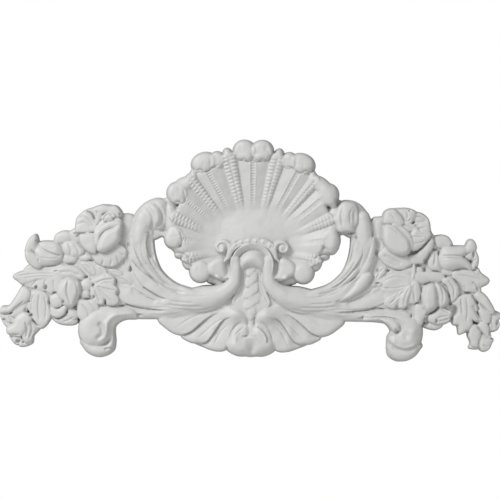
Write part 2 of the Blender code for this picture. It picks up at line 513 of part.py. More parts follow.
def rose_left(work):
    """The rose: a bud of two broad petals, ringed by smaller ones."""
    forms(work, (
        (14, 0.7, (0, 0), [(-172, 10), (-158, 0), (-143, -6), (-130, 0), (-125, 10), (-131, 34),
            (-131, 46), (-137, 53.5), (-150, 55), (-165, 49.5), (-176, 40), (-175, 24)]),
        (18.5, 1.2, (0.02, 0.04), [(-157, -1), (-152, -5), (-144, -6.5), (-137, -6), (-131, -1),
            (-126, 4), (-124.5, 9), (-128, 13.5), (-134, 17), (-141, 11), (-148, 7.5), (-156, 8),
            (-160, 5)]),
        (20.0, 1.5, (0.04, -0.05), [(-176.5, 28), (-176, 40), (-172, 45.5), (-166, 49.5), (-160, 46),
            (-157, 39), (-154, 31), (-163, 27), (-172, 26.5)]),
        (21.0, 1.5, (0.03, -0.03), [(-166, 49.5), (-159, 51.8), (-154, 53.5), (-150, 48), (-151, 41),
            (-156, 35), (-157.5, 43), (-161, 47)]),
        (21.5, 1.2, (0, -0.05), [(-156, 52), (-150, 55), (-143, 54), (-137, 54), (-132.5, 50),
            (-131, 45), (-136, 43), (-145, 47.5), (-152, 46)]),
        (22.5, 1.8, (0.03, 0), [(-173, 22), (-170, 14), (-163, 8), (-157, 6.8), (-155, 12), (-155, 20),
            (-157, 26), (-162, 27), (-171, 26)]),
        (22.0, 1.2, (0, -0.04), [(-158, 27), (-155, 34), (-150, 40.5), (-143, 42.5), (-135, 43),
            (-131, 40), (-131, 35), (-140, 33), (-150, 29), (-154, 22)]),
        (24.0, 1.8, (0, 0), [(-150.5, 41), (-148, 46), (-141, 48), (-136.5, 45), (-138, 40), (-145, 38.5)]),
        (23.8, 1.2, (0, 0), [(-157, 18), (-155.5, 27), (-150, 33.5), (-143, 38), (-134, 39),
            (-131, 35.5), (-140, 32.5), (-147, 29.5), (-152, 24), (-154, 15)]),
        (25.8, 3.5, (0, 0), [(-155, 11), (-153, 20), (-150.5, 25.5), (-146.5, 29.5), (-140, 32.3),
            (-133, 35.5), (-130.6, 33), (-131.4, 27), (-132, 20), (-136, 15.5), (-141, 11.5),
            (-147, 8.3), (-152, 8.3)])))
    lines(work, (
        (0.95, 1.1, [(-176, 41), (-169, 43), (-162, 39), (-158, 33)]),
        (0.95, 0.9, [(-176, 35), (-168, 37.5), (-160, 32)]),
        (0.75, 2.0, [(-166, 49), (-160.5, 46.5), (-157.3, 40)]),
        (0.7, 1.6, [(-148, 39), (-147, 44), (-142, 46), (-139, 43)]),
        (0.7, 2.2, [(-179, 26.5), (-171, 26.7), (-164, 26.3)]),
        (0.7, 1.5, [(-156, 49.5), (-154, 46)])))
    work.pits((
        (-146.3, 38.2, 1.4, 1.0, 2), (-138.3, 41.7, 1.2, 1.1, 3), (-174.5, 24, 1.4, 1.2, 2),
        (-132, 46, 1.3, 1.6, 3)))


def blossom_left(work):
    """The small flower between the rose and the tulip."""
    forms(work, (
        (15.5, 1.5, (0, 0.03), [(-198, 18.5), (-197, 24), (-192, 27.5), (-186, 28.5), (-181, 26),
            (-181, 20), (-187, 17), (-193, 16)]),
        (15.0, 1.2, (0, 0), [(-187, 27), (-182, 28.5), (-178, 31), (-174, 31.5), (-171, 25), (-171, 18),
            (-178, 17), (-184, 21)]),
        (17.0, 2.2, (0, 0), [(-190, 13), (-187, 17.5), (-178, 18.5), (-172, 14), (-167, 9), (-171, 4),
            (-180, 2.5), (-188, 6)]),
        (15.8, 1.5, (0, -0.02), [(-190.5, 1), (-187, 6), (-178, 4), (-171, 4.5), (-165, 6.5), (-160, 3),
            (-165, -1), (-174, -0.5), (-178, -3), (-184, -4), (-189, -2)])))
    lines(work, (
        (1.4, 1.1, [(-184, 17), (-181, 10), (-182, 3)]),
        (1.1, 0.8, [(-178, 16), (-174, 10), (-173, 5)])))
    work.pits(((-180.5, -4.3, 4.2, 1.0, 2), (-173.8, 0.8, 2.0, 1.2, 2), (-160.5, -0.5, 3.0, 0.9, 3)))


def tulip_left(work):
    """A tulip that points outwards: a cup of petals, two of them turned out at its mouth."""
    work.lobe([(-188.5, 4), (-190.5, 12), (-197, 17.4), (-211, 17.6), (-218, 12), (-220, 4), (-218, -3),
               (-212, -6), (-201, -6), (-192, -2)], 20, puff=4, fall=9, rounding=1.0)
    forms(work, (
        (19.5, 1.5, (-0.14, 0), [(-217, 24.6), (-223, 20), (-226, 13), (-226.5, 7), (-219, 6.5),
            (-214.5, 10.5), (-214.7, 20)]),
        (19.5, 1.5, (-0.10, 0.08), [(-226, 7), (-225.5, 0), (-220.5, -6), (-213.5, -9.3), (-209.5, -5),
            (-212, 2), (-217, 6)])))
    work.fold([(-190, 4.6), (-196, 5.6), (-203, 8), (-211, 12.6), (-214.8, 18.6)], 3.5, 1.7)
    lines(work, (
        (0.7, 1.3, [(-221, 10), (-216.5, 5.5), (-213, 2), (-213.5, -3)]),
        (0.7, 0.9, [(-212, 14.5), (-205, 12), (-196, 10.5)]),
        (0.7, 0.8, [(-211, 2.5), (-203, 1), (-193, 1.5)])))
    work.pits(((-214.5, 18.5, 1.6, 1.6, 4), (-202.5, -6, 1.8, 0.8, 1.5)))


def leaves_left(work):
    """The long leaves that point outwards under the tulip."""
    forms(work, (
        (15.0, 0.9, (0, 0.02), [(-228, -13), (-226, -8), (-221, -6), (-213, -9), (-205, -7), (-200, -10),
            (-205, -15), (-218, -15)]),
        (15.5, 0.9, (0, 0.03), [(-205, -8), (-196, -6), (-190, -4.5), (-184, -8), (-190, -14),
            (-200, -14)]),
        (15.5, 0.9, (0.02, 0), [(-229, -25), (-225, -18), (-214, -15), (-208, -19), (-211, -26),
            (-216, -29), (-222, -28.5)]),
        (16.0, 0.9, (0.02, 0), [(-216.5, -28), (-214, -19), (-205, -15), (-198, -18), (-200, -27),
            (-206, -31.5), (-211, -31.5)]),
        (16.5, 0.9, (0.02, 0), [(-206, -29), (-205, -18), (-196, -13), (-189, -17), (-191, -28),
            (-197, -34.5), (-202, -34)]),
        (16.8, 0.9, (0.01, 0.02), [(-238.8, -17), (-230, -12.6), (-220, -11.5), (-205, -12), (-195, -13),
            (-200, -18), (-215, -20.5), (-224, -24), (-229.5, -25), (-233.5, -22)]),
        (17.0, 1.5, (0, 0.10), [(-200, -10), (-190, -7), (-182, -5.6), (-174, -8), (-168, -13),
            (-165.6, -18), (-170, -20.5), (-180, -18.5), (-190, -19), (-198, -15)])))
    lines(work, (
        (0.75, 1.0, [(-236, -17), (-215, -14.3), (-196, -14)]),
        (0.7, 0.7, [(-228, -19), (-212, -16.8), (-200, -17)]),
        (0.75, 0.9, [(-220, -27), (-214, -20)]),
        (0.75, 0.9, [(-208, -30), (-206, -20)]),
        (0.75, 0.9, [(-197, -32), (-198, -20)]),
        (1.3, 1.0, [(-194, -13), (-182, -12), (-171, -16)])))
    work.pits((
        (-215.5, -27.8, 1.2, 1.6, 4.5), (-205.7, -28, 1.4, 2.4, 4.5), (-197, -33.5, 2.2, 1.4, 4.5),
        (-165.8, -17.3, 1.9, 1.5, 4.5), (-195.5, -11.5, 2.5, 0.9, 2)))


def bud_left(work):
    """The fat bud with the petals that have dropped below it."""
    forms(work, (
        (13.8, 1.5, (0, 0.03), [(-199.5, -58), (-193, -59), (-187, -55.5), (-182, -55), (-176, -57),
            (-173.5, -61), (-177, -64.5), (-184, -65.2), (-192, -64), (-197, -61)]),
        (15.5, 1.5, (0.02, 0), [(-184, -49), (-177, -48.5), (-174, -52), (-174, -58), (-179, -60),
            (-184, -56)]),
        (17.0, 1.5, (0.04, 0.02), [(-200.5, -47), (-195, -49), (-189, -46.5), (-185.5, -45), (-184, -50),
            (-187, -55), (-193, -58.5), (-199.5, -57)]),
        (17.8, 1.5, (0.04, 0.02), [(-201.5, -38), (-196, -34), (-189, -36), (-186.5, -41), (-190, -46),
            (-195, -48.3), (-200, -46)]),
        (22.0, 4.5, (0, 0.02), [(-181, -17.6), (-188, -19.5), (-193, -26), (-194.5, -35), (-191, -41),
            (-184.5, -47.5), (-177, -46.5), (-173, -38), (-170.5, -30), (-172, -22)])))
    lines(work, (
        (0.85, 1.6, [(-183, -19.5), (-184.5, -32), (-180, -45.5)]),
        (0.75, 1.0, [(-176.5, -20.5), (-173.5, -31), (-175.5, -42)]),
        (0.75, 0.4, [(-189, -22), (-190.5, -31), (-187, -42)]),
        (0.7, 3.0, [(-200, -57), (-193, -58.8), (-187, -55.5), (-184.2, -51)]),
        (0.7, 1.2, [(-188, -62), (-182, -60), (-178, -57)])))
    work.pits((
        (-188, -42, 1.2, 1.7, 4), (-176.8, -47, 1.5, 1.3, 4), (-173.5, -49.5, 1.6, 1.1, 4),
        (-184.3, -51.5, 1.1, 2.2, 4), (-193, -48.3, 3.0, 0.8, 1.5)))


def leaf_cluster_left(work):
    """The broad lobed leaf under the rose, with its small buds."""
    forms(work, (
        (14.5, 1.2, (0, 0.02), [(-164, -1), (-156, -3.5), (-149, -7), (-146, -12), (-150, -17),
            (-157, -21.5), (-161.5, -17), (-164, -8)]),
        (17.0, 1.8, (0, 0), [(-171.5, -25), (-168.5, -20), (-163, -18), (-159, -22), (-160, -28),
            (-164, -31), (-169.5, -30)]),
        (16.5, 1.8, (0, 0), [(-172, -33), (-168.5, -29.8), (-163.5, -29.5), (-161.3, -33), (-163, -38.3),
            (-169, -39)]),
        (18.0, 1.8, (0.02, 0), [(-174.5, -41), (-171, -38.7), (-165, -39.5), (-158, -39.5), (-154, -43),
            (-151.8, -49.5), (-157, -52.5), (-160, -57), (-166, -60.7), (-171.5, -59), (-174, -53)]),
        (18.0, 1.0, (-0.02, 0.05), [(-160, -21), (-152, -16), (-144, -13.3), (-137.5, -17), (-136, -23),
            (-142, -26.5), (-152, -27)]),
        (18.6, 1.0, (-0.02, 0.05), [(-158, -25), (-148, -24), (-138.5, -24.5), (-133.3, -29),
            (-134.5, -34.5), (-141, -35), (-150, -32)]),
        (18.2, 1.0, (0, 0.04), [(-158.5, -26), (-153, -27), (-148, -35), (-146.8, -42), (-151, -44.7),
            (-156, -41.5), (-160.5, -36), (-161, -30)]),
        (19.2, 1.0, (-0.02, 0.04), [(-157, -26), (-149, -28), (-141, -32), (-134.5, -35), (-132.3, -41),
            (-137, -45), (-144, -44.4), (-147, -38), (-151, -33)])))
    lines(work, (
        (0.75, 1.3, [(-156, -23), (-147, -19.5), (-138, -19)]),
        (0.75, 1.3, [(-155, -26), (-145, -28.5), (-135, -30.5)]),
        (0.75, 1.3, [(-154, -28), (-146, -35), (-138, -42)]),
        (0.75, 1.3, [(-157, -28), (-154, -36), (-151, -42)]),
        (0.7, 0.7, [(-150, -22), (-141, -22.5)]),
        (0.75, 1.2, [(-163, -3), (-161.5, -12), (-160, -18)]),
        (0.75, 1.0, [(-170, -44), (-164, -50), (-162, -57)]),
        (0.75, 1.0, [(-163, -41), (-158, -46), (-155, -50)]),
        (0.7, 1.2, [(-161, -30.5), (-161.5, -37)])))
    work.pits((
        (-135.8, -21, 1.1, 2.4, 3), (-134, -32.5, 1.4, 2.4, 3), (-146, -41.5, 1.3, 2.4, 3.5),
        (-157.5, -36.8, 1.3, 1.6, 3.5), (-158, -26, 1.3, 2.2, 3), (-164.5, -39, 3.4, 0.9, 3.5),
        (-146.3, -12.5, 1.4, 2.4, 3.5), (-152, -5.3, 1.9, 1.1, 3.5), (-137.5, -4.5, 2.0, 1.8, 3.5),
        (-121.3, -8.5, 1.1, 2.6, 3.5), (-123.8, 15.8, 1.0, 1.8, 2)))


def bells_left(work):
    """The two bell flowers that hang at the end, with a leaf beside them."""
    forms(work, (
        (13.0, 1.2, (0, 0), [(-230, -80), (-221.5, -79.5), (-218.7, -83), (-225, -86.7), (-232, -86.7)]),
        (13.5, 1.2, (0, 0), [(-241, -76), (-231, -77), (-229.5, -82), (-234.5, -85.5), (-239.5, -81)]),
        (14.5, 1.2, (0, 0), [(-250.6, -55), (-240, -54.5), (-233.5, -58), (-233, -64), (-240, -68.3),
            (-245.5, -67), (-249.5, -61)]),
        (15.8, 1.5, (-0.16, 0.05), [(-223, -58), (-216, -64), (-211.7, -68.3), (-218, -76),
            (-219, -81.5), (-226, -83.5), (-229, -76), (-226, -66)]),
        (17.5, 1.8, (0.06, -0.02), [(-235, -57), (-226, -53), (-219, -58), (-223, -67), (-228.5, -76),
            (-236, -76.5), (-243.5, -74.5), (-244.3, -69), (-238, -65)]),
        (16.5, 1.2, (-0.12, 0.06), [(-240.5, -54), (-231, -46), (-224, -40), (-224, -51), (-231, -57),
            (-238, -58.3)]),
        (18.0, 1.8, (0.06, -0.06), [(-229, -27.3), (-236, -38), (-242.5, -46.8), (-249.5, -48),
            (-251, -54), (-240.5, -53.5), (-231, -46.5), (-223, -40.5), (-221, -32)]),
        (16.0, 1.0, (0.02, 0.02), [(-224.5, -41), (-222, -33), (-213, -31.2), (-204, -35), (-202.5, -44),
            (-200.3, -55), (-203, -61.8), (-206, -66), (-210.5, -68.7), (-215, -64), (-219, -58.5),
            (-222, -52), (-224.5, -47)])))
    lines(work, (
        (0.75, 1.6, [(-227, -41.5), (-236, -49), (-241, -53.8), (-249.5, -54.3)]),
        (1.0, 1.2, [(-236, -36), (-240, -43), (-246, -49)]),
        (0.95, 1.4, [(-226, -62), (-224, -70), (-225, -79)]),
        (0.95, 1.4, [(-220, -64), (-219, -71), (-222, -79)]),
        (0.85, 1.2, [(-212, -34), (-213, -48), (-211.5, -62)]),
        (0.75, 1.0, [(-207, -36), (-205, -48), (-206, -60)]),
        (0.75, 0.8, [(-218, -35), (-220, -44), (-219, -52)]),
        (0.7, 1.6, [(-217.5, -61.5), (-214, -65), (-210.5, -67.5)]),
        (0.75, 1.6, [(-248, -60), (-244, -63.5), (-237, -64.5)]),
        (0.7, 1.2, [(-243, -57), (-240, -61), (-241, -66)])))
    work.pits((
        (-233, -82, 1.9, 1.6, 5), (-227.7, -83, 1.3, 1.1, 3), (-240, -54, 1.6, 0.9, 3),
        (-247.3, -60.4, 1.5, 0.9, 3), (-235.5, -75.3, 4.2, 0.9, 2), (-220.2, -56, 1.6, 1.4, 4.5),
        (-222.2, -42, 1.3, 0.9, 2), (-225.8, -51, 1.2, 2.0, 2), (-236, -84.3, 1.3, 0.8, 2),
        (-240, -78, 1.2, 1.2, 3), (-202.5, -43, 1.2, 2.6, 2)))


def left_bouquet(work):
    """The left bouquet, laid on a plate: the outer flowers first and the rose last."""
    work.lobe([(-104, -10), (-116, 30), (-119, 44), (-132, 44), (-150, 52), (-172, 42), (-178, 30),
               (-196, 18), (-205, 0), (-224, -8), (-228, -20), (-224, -40), (-214, -60), (-200, -58),
               (-172, -58), (-150, -48), (-118, -40)], 13.2, puff=0)
    work.lobe([(-131, 45), (-118.5, 44.5), (-116.5, 30), (-119, 18), (-122.5, 8), (-128, 12), (-132, 20),
               (-131, 30)], 14.5, slope=(-0.08, 0))
    bells_left(work)
    leaves_left(work)
    blossom_left(work)
    tulip_left(work)
    bud_left(work)
    leaf_cluster_left(work)
    rose_left(work)


def rose_right(work):
    """The right rose, which opens towards the other side."""
    forms(work, (
        (14, 0.7, (0, 0), [(-126, 6), (-137, -3), (-151, -6), (-166, -1.5), (-173, 1.5), (-181, 24),
            (-177, 36), (-173, 46), (-163, 51), (-152, 55), (-138, 54), (-131, 48), (-131, 30)]),
        (18.0, 1.2, (0, 0.03), [(-126, 8), (-128.5, 13), (-134, 16.5), (-141, 12), (-149, 8.5),
            (-155.5, 8.5), (-158, 4), (-160, 0), (-155, -3.5), (-148, -6), (-139, -4), (-131, 1)]),
        (19.0, 1.2, (0, 0.03), [(-157, 8), (-164, 11), (-171, 17.5), (-178, 26), (-181.3, 24),
            (-181, 18), (-178.5, 12), (-175, 6), (-172, 1), (-165, -0.3), (-160, 0.5), (-157.5, 4)]),
        (19.5, 1.2, (0, -0.03), [(-162, 42), (-169, 42), (-175.8, 44), (-170.5, 49.5), (-163, 51.2),
            (-160, 47)]),
        (20.3, 1.2, (0, -0.03), [(-158, 35), (-162, 41), (-170, 42), (-175.8, 43.5), (-177.4, 38),
            (-177, 32), (-168, 32.5)]),
        (21.0, 1.5, (0.02, -0.02), [(-145, 52), (-150, 55), (-158, 54.3), (-163.5, 51), (-161.5, 44),
            (-156, 39), (-151, 41)]),
        (20.8, 1.2, (0.02, 0.02), [(-148, 43), (-154, 42), (-160.5, 39.5), (-164, 35), (-158, 30.5),
            (-151, 34)]),
        (22.0, 1.5, (0.02, 0), [(-157, 24), (-158.5, 14), (-165, 14), (-171, 18.5), (-177.5, 26.5),
            (-178, 31.5), (-170, 34.5), (-160, 34)]),
        (22.3, 1.5, (0, -0.03), [(-130.8, 46), (-133, 52), (-139, 54.4), (-144, 53), (-149.3, 47.5),
            (-152, 41.5), (-147, 37), (-139, 39.5), (-131.5, 40)]),
        (23.3, 1.2, (0, 0), [(-142, 40), (-150, 37), (-157, 31), (-161, 22), (-159, 14), (-154, 20),
            (-148, 30), (-138, 37)]),
        (25.8, 3.5, (0, 0), [(-130.7, 36), (-134, 39), (-141, 38.3), (-149, 32.8), (-155.5, 26.5),
            (-158.5, 18), (-157, 11), (-151, 8.3), (-143, 9.5), (-136, 14), (-131.5, 21), (-130.3, 28)])))
    lines(work, (
        (0.7, 3.5, [(-157, 8.7), (-164, 11.7), (-171, 18), (-178, 26)]),
        (0.85, 3.0, [(-172, 0.5), (-175, 6.5), (-178.5, 12.5)]),
        (0.75, 2.0, [(-144, 52.8), (-149, 48), (-152, 42)]),
        (0.7, 1.8, [(-162, 40), (-165, 36.5), (-167.5, 33.8)]),
        (0.85, 0.9, [(-132, 37), (-139, 35.5), (-146, 30)]),
        (0.75, 1.0, [(-157, 31.5), (-162, 33)]),
        (0.75, 1.0, [(-158, 26.5), (-164, 27.5), (-171, 27)]),
        (1.4, 1.2, [(-131, 9), (-140, 4.5), (-150, -0.5)]),
        (0.75, 1.2, [(-163, 47), (-169, 47), (-174, 44)]),
        (0.7, 1.2, [(-150, 39.5), (-156, 37.5), (-161, 35)]),
        (0.7, 0.8, [(-158, 46), (-156, 42.5), (-151.5, 43)])))
    work.pits((
        (-167.5, 33.5, 1.6, 1.2, 1), (-162, 10.8, 4.0, 1.0, 1.5), (-173.3, 2.5, 1.7, 2.4, 3.5),
        (-166, -1.2, 2.3, 1.3, 3.5), (-157, 53, 1.2, 0.9, 1.5), (-124, 10.8, 1.3, 2.6, 4),
        (-126, 20, 2.6, 4.5, 1.5)))


def blossom_right(work):
    """The small flower and the petals between the rose and the tulip."""
    forms(work, (
        (15.5, 1.2, (0, 0), [(-190, -4), (-198, -4.8), (-201.5, -8), (-199, -11), (-192, -10.5),
            (-189, -8)]),
        (15.0, 0.9, (0, 0), [(-179.5, 27), (-182.5, 25.5), (-184.5, 18), (-183.5, 14.5), (-180, 15.5),
            (-181, 20)]),
        (17.0, 1.5, (0, 0.02), [(-181.7, 26.3), (-188, 28.6), (-194.5, 27.8), (-198.5, 24),
            (-200.3, 18.3), (-194, 16), (-188, 16), (-184, 18)]),
        (16.5, 1.8, (0, 0.02), [(-180, 13.5), (-186, 13.5), (-188, 6), (-189, -1), (-190, -7),
            (-183, -6.8), (-177, -4), (-175, 2), (-177.5, 8)])))
    lines(work, ((1.0, 1.2, [(-183, 12), (-183, 5), (-182, -2)]),))
    work.pits((
        (-182, 14.5, 2.5, 1.1, 3.5), (-186.5, 11, 0.9, 2.5, 3.5), (-183.5, -7.2, 3.0, 0.9, 3),
        (-172.7, -6, 1.3, 2.4, 3.5), (-200.3, 18.6, 1.6, 1.2, 3.5)))


def tulip_right(work):
    """The right tulip, with one long petal turned back at its mouth."""
    forms(work, (
        (17.5, 1.2, (-0.05, 0), [(-222, 15), (-225.8, 9), (-226.3, 2), (-224.7, -2.8), (-220, -6),
            (-219, 0), (-220, 8)]),
        (17.5, 0.9, (0, 0), [(-211, 8.3), (-219.5, 12), (-221, 8), (-218, 4.5)]),
        (18.5, 1.5, (-0.08, 0.02), [(-212, 14), (-214.3, 20), (-216.5, 23.9), (-220, 24.5), (-223, 21.5),
            (-224.2, 16), (-221, 11.5), (-215, 10)])))
    work.lobe([(-187, 6), (-188.3, 13), (-192, 17.3), (-202, 18), (-213, 17.8), (-218, 12.5), (-212.5, 8),
               (-216.5, 4), (-220, -1), (-220, -6.5), (-211, -3.2), (-200, -5.8), (-190.5, -3.8)], 20.2,
              puff=4, fall=9, rounding=1.0)
    lines(work, (
        (0.75, 1.4, [(-190, 8.6), (-200, 8.9), (-210.5, 8.2)]),
        (0.7, 0.9, [(-190, 6.3), (-200, 6.3), (-209, 4.8)]),
        (0.75, 1.6, [(-211, 8.2), (-216, 4.3), (-219.5, 1)]),
        (0.7, 1.2, [(-212, 8.8), (-219, 12.5)]),
        (0.7, 1.4, [(-218.5, 3), (-224.5, 5.5)])))
    work.pits((
        (-221.5, 10, 0.9, 3.5, 3), (-219.6, 2, 1.1, 1.9, 3.5), (-211.3, 8, 1.3, 0.9, 2),
        (-222, -5.5, 2.6, 1.0, 2), (-224.2, -2.8, 1.1, 0.9, 3), (-206, -5.7, 3.5, 0.8, 1.5)))


def leaves_right(work):
    """The toothed leaf that points outwards, and the curled one inside it."""
    forms(work, (
        (16.5, 1.2, (0.02, 0), [(-202, -6.5), (-212, -5), (-221, -6.3), (-226, -3.7), (-229.8, -9),
            (-237.3, -14.7), (-235.8, -19), (-229.5, -22.3), (-228.5, -27.5), (-217, -27.5),
            (-212, -26.5), (-209.5, -21), (-204, -16), (-200.5, -12.5)]),
        (18.5, 1.2, (0.05, 0), [(-192.5, -13.3), (-199, -13), (-204, -18), (-208, -24.5), (-207, -31),
            (-202.5, -36.8), (-199.5, -37), (-198, -30), (-195, -22), (-190.5, -18)])))
    lines(work, (
        (0.75, 0.9, [(-205, -10), (-220, -12.5), (-235, -16)]),
        (0.75, 1.5, [(-220, -17), (-224.5, -20.5), (-226, -26)]),
        (0.7, 1.2, [(-212, -21), (-214.5, -26)]),
        (0.85, 1.1, [(-196, -15), (-202, -24), (-202, -34)]),
        (0.75, 0.8, [(-221, -7), (-226, -10), (-229, -10)])))
    work.pits((
        (-215.8, -28.3, 3.0, 1.1, 3.5), (-227.5, -24.5, 2.4, 2.4, 1.5), (-193.7, -12.5, 2.8, 1.2, 3.5),
        (-207.7, -25, 1.0, 2.0, 1.5)))


def bud_right(work):
    """The right bud between its sepals, with its fallen petals."""
    forms(work, (
        (13.8, 1.2, (0, 0.03), [(-176, -59), (-186, -59.5), (-191, -60.3), (-190, -63), (-184, -65.5),
            (-176, -64), (-172, -61.5)]),
        (18.0, 1.5, (0, 0.03), [(-188.5, -42.5), (-195, -45.5), (-200, -47), (-200.3, -52),
            (-197, -57.5), (-190, -60), (-181, -59), (-176.5, -56), (-178, -51), (-184, -46.5)]),
        (17.5, 1.5, (0, 0), [(-164, -40.5), (-171, -41), (-177, -45.5), (-177, -51), (-172.5, -55),
            (-171, -60.3), (-165, -60), (-163.3, -50)]),
        (16.5, 1.5, (0, 0.12), [(-160, -9), (-170, -8), (-181, -7.5), (-191, -9.5), (-193, -15),
            (-187, -18.5), (-178, -18), (-171, -20.5), (-163, -18)]),
        (20.5, 3, (0, 0), [(-183, -19.5), (-189, -20.5), (-194, -26), (-197.5, -33), (-196.7, -39),
            (-192, -42.7), (-187, -42.5), (-185, -34)]),
        (22.5, 4.5, (0, 0), [(-171.5, -22.5), (-176, -20), (-181.5, -19.3), (-185, -23), (-186.8, -32),
            (-186.5, -41), (-181.5, -46.5), (-175, -48), (-171.3, -41), (-169.8, -31)])))
    work.rib([(-162, 1), (-162.2, -8), (-160, -17)], 1.9, 17, crown=1.5)
    lines(work, (
        (0.75, 3.0, [(-173, -51), (-179, -49.7), (-184.5, -46), (-187.8, -42.6)]),
        (0.75, 1.2, [(-186, -53.5), (-191, -52.2), (-197, -51.5)]),
        (0.75, 1.2, [(-189, -43.7), (-193, -46), (-198, -48)]),
        (0.75, 1.1, [(-187, -57), (-192, -56), (-198, -54)]),
        (0.75, 1.2, [(-175, -21), (-173.5, -31), (-175, -42)]),
        (0.75, 1.0, [(-189, -22), (-191.5, -31), (-190.5, -40)]),
        (0.75, 1.3, [(-171, -43), (-175, -47), (-176, -51)]),
        (0.7, 1.8, [(-172.5, -20.8), (-176, -19.3), (-179, -18)])))
    work.pits((
        (-185.2, -56.7, 1.3, 1.9, 3.5), (-198.8, -39.5, 1.3, 1.5, 4), (-203.7, -46.5, 2.0, 4.0, 4),
        (-200.6, -55, 1.3, 3.0, 4), (-175, -57.5, 2.3, 4.0, 3), (-197.3, -32.5, 0.9, 2.5, 2),
        (-174, -20.3, 2.6, 0.8, 1.5)))


def leaf_cluster_right(work):
    """The spread leaf under the right rose, and the little leaves by its stalk."""
    forms(work, (
        (13.5, 0.9, (0, 0), [(-156, -44), (-163, -42), (-164.7, -52), (-165, -60), (-158, -58),
            (-153, -51)]),
        (16.0, 0.9, (0, 0), [(-164.5, -3), (-170, -3.5), (-171, -8), (-166, -11), (-164, -8)]),
        (15.5, 0.9, (0, 0.03), [(-146, -6), (-153, -4.5), (-161, -3), (-161, -10), (-154, -11),
            (-143, -9)]),
        (15.5, 0.9, (0, 0.02), [(-122, -18), (-124, -10), (-129, -3), (-135, -4), (-134, -9), (-127, -16)]),
        (16.6, 0.8, (0, 0.02), [(-131, -20), (-133, -30), (-135, -41), (-143, -43.3), (-152, -44.3),
            (-160, -39), (-167.5, -34), (-168, -22), (-162, -12), (-148, -10), (-137, -13)]),
        (16.8, 1.0, (-0.02, 0.04), [(-160, -12), (-150, -9), (-141, -9.3), (-134, -13.5), (-127, -19.3),
            (-136, -21), (-146, -20), (-156, -19)]),
        (17.2, 1.0, (-0.02, 0.04), [(-158, -18), (-146, -19.5), (-137, -21.5), (-130.5, -24.5),
            (-132.5, -29), (-140, -30.5), (-150, -28), (-157, -24)]),
        (17.5, 1.0, (0, 0.04), [(-160, -18), (-156.5, -27), (-157, -37), (-160, -39.7), (-165.5, -38.7),
            (-168.7, -32), (-168.5, -24), (-165, -17)]),
        (17.8, 1.0, (-0.02, 0.04), [(-156, -23), (-150, -26.5), (-143, -30), (-135.5, -34),
            (-132.7, -40), (-136, -43.7), (-143, -44.5), (-146.7, -40), (-150, -33)]),
        (18.5, 1.0, (0, 0.04), [(-158, -21), (-152.5, -27), (-148, -35), (-147.3, -43), (-151, -45.7),
            (-155, -42.5), (-157, -34), (-160, -26)])))
    lines(work, (
        (0.75, 0.8, [(-156, -15), (-143, -13), (-131, -18)]),
        (0.75, 0.8, [(-155, -22), (-145, -24), (-133, -25.5)]),
        (0.75, 0.9, [(-153, -26), (-146, -33), (-138, -40.5)]),
        (0.75, 0.8, [(-157, -24), (-153.5, -33), (-152, -43)]),
        (0.75, 0.8, [(-162, -20), (-162, -29), (-163.5, -38)]),
        (0.7, 0.8, [(-148, -28), (-142, -35)]),
        (0.75, 1.0, [(-124, -16), (-128, -9), (-131, -5)])))
    work.pits((
        (-126, -7.5, 1.2, 1.9, 3), (-136, -7, 2.2, 1.0, 3), (-147, -6.2, 3.2, 0.8, 3),
        (-125.5, -19.5, 2.0, 0.9, 3.5), (-133.8, -24.4, 3.6, 0.8, 1), (-145.3, -43.3, 1.3, 1.9, 2),
        (-154.7, -44, 1.5, 1.5, 2), (-151, -45, 3.2, 0.8, 3), (-165.3, -39.6, 1.7, 1.1, 3.5),
        (-160, -52, 0.9, 1.9, 4), (-163, -32, 0.9, 3.0, 0.5)))


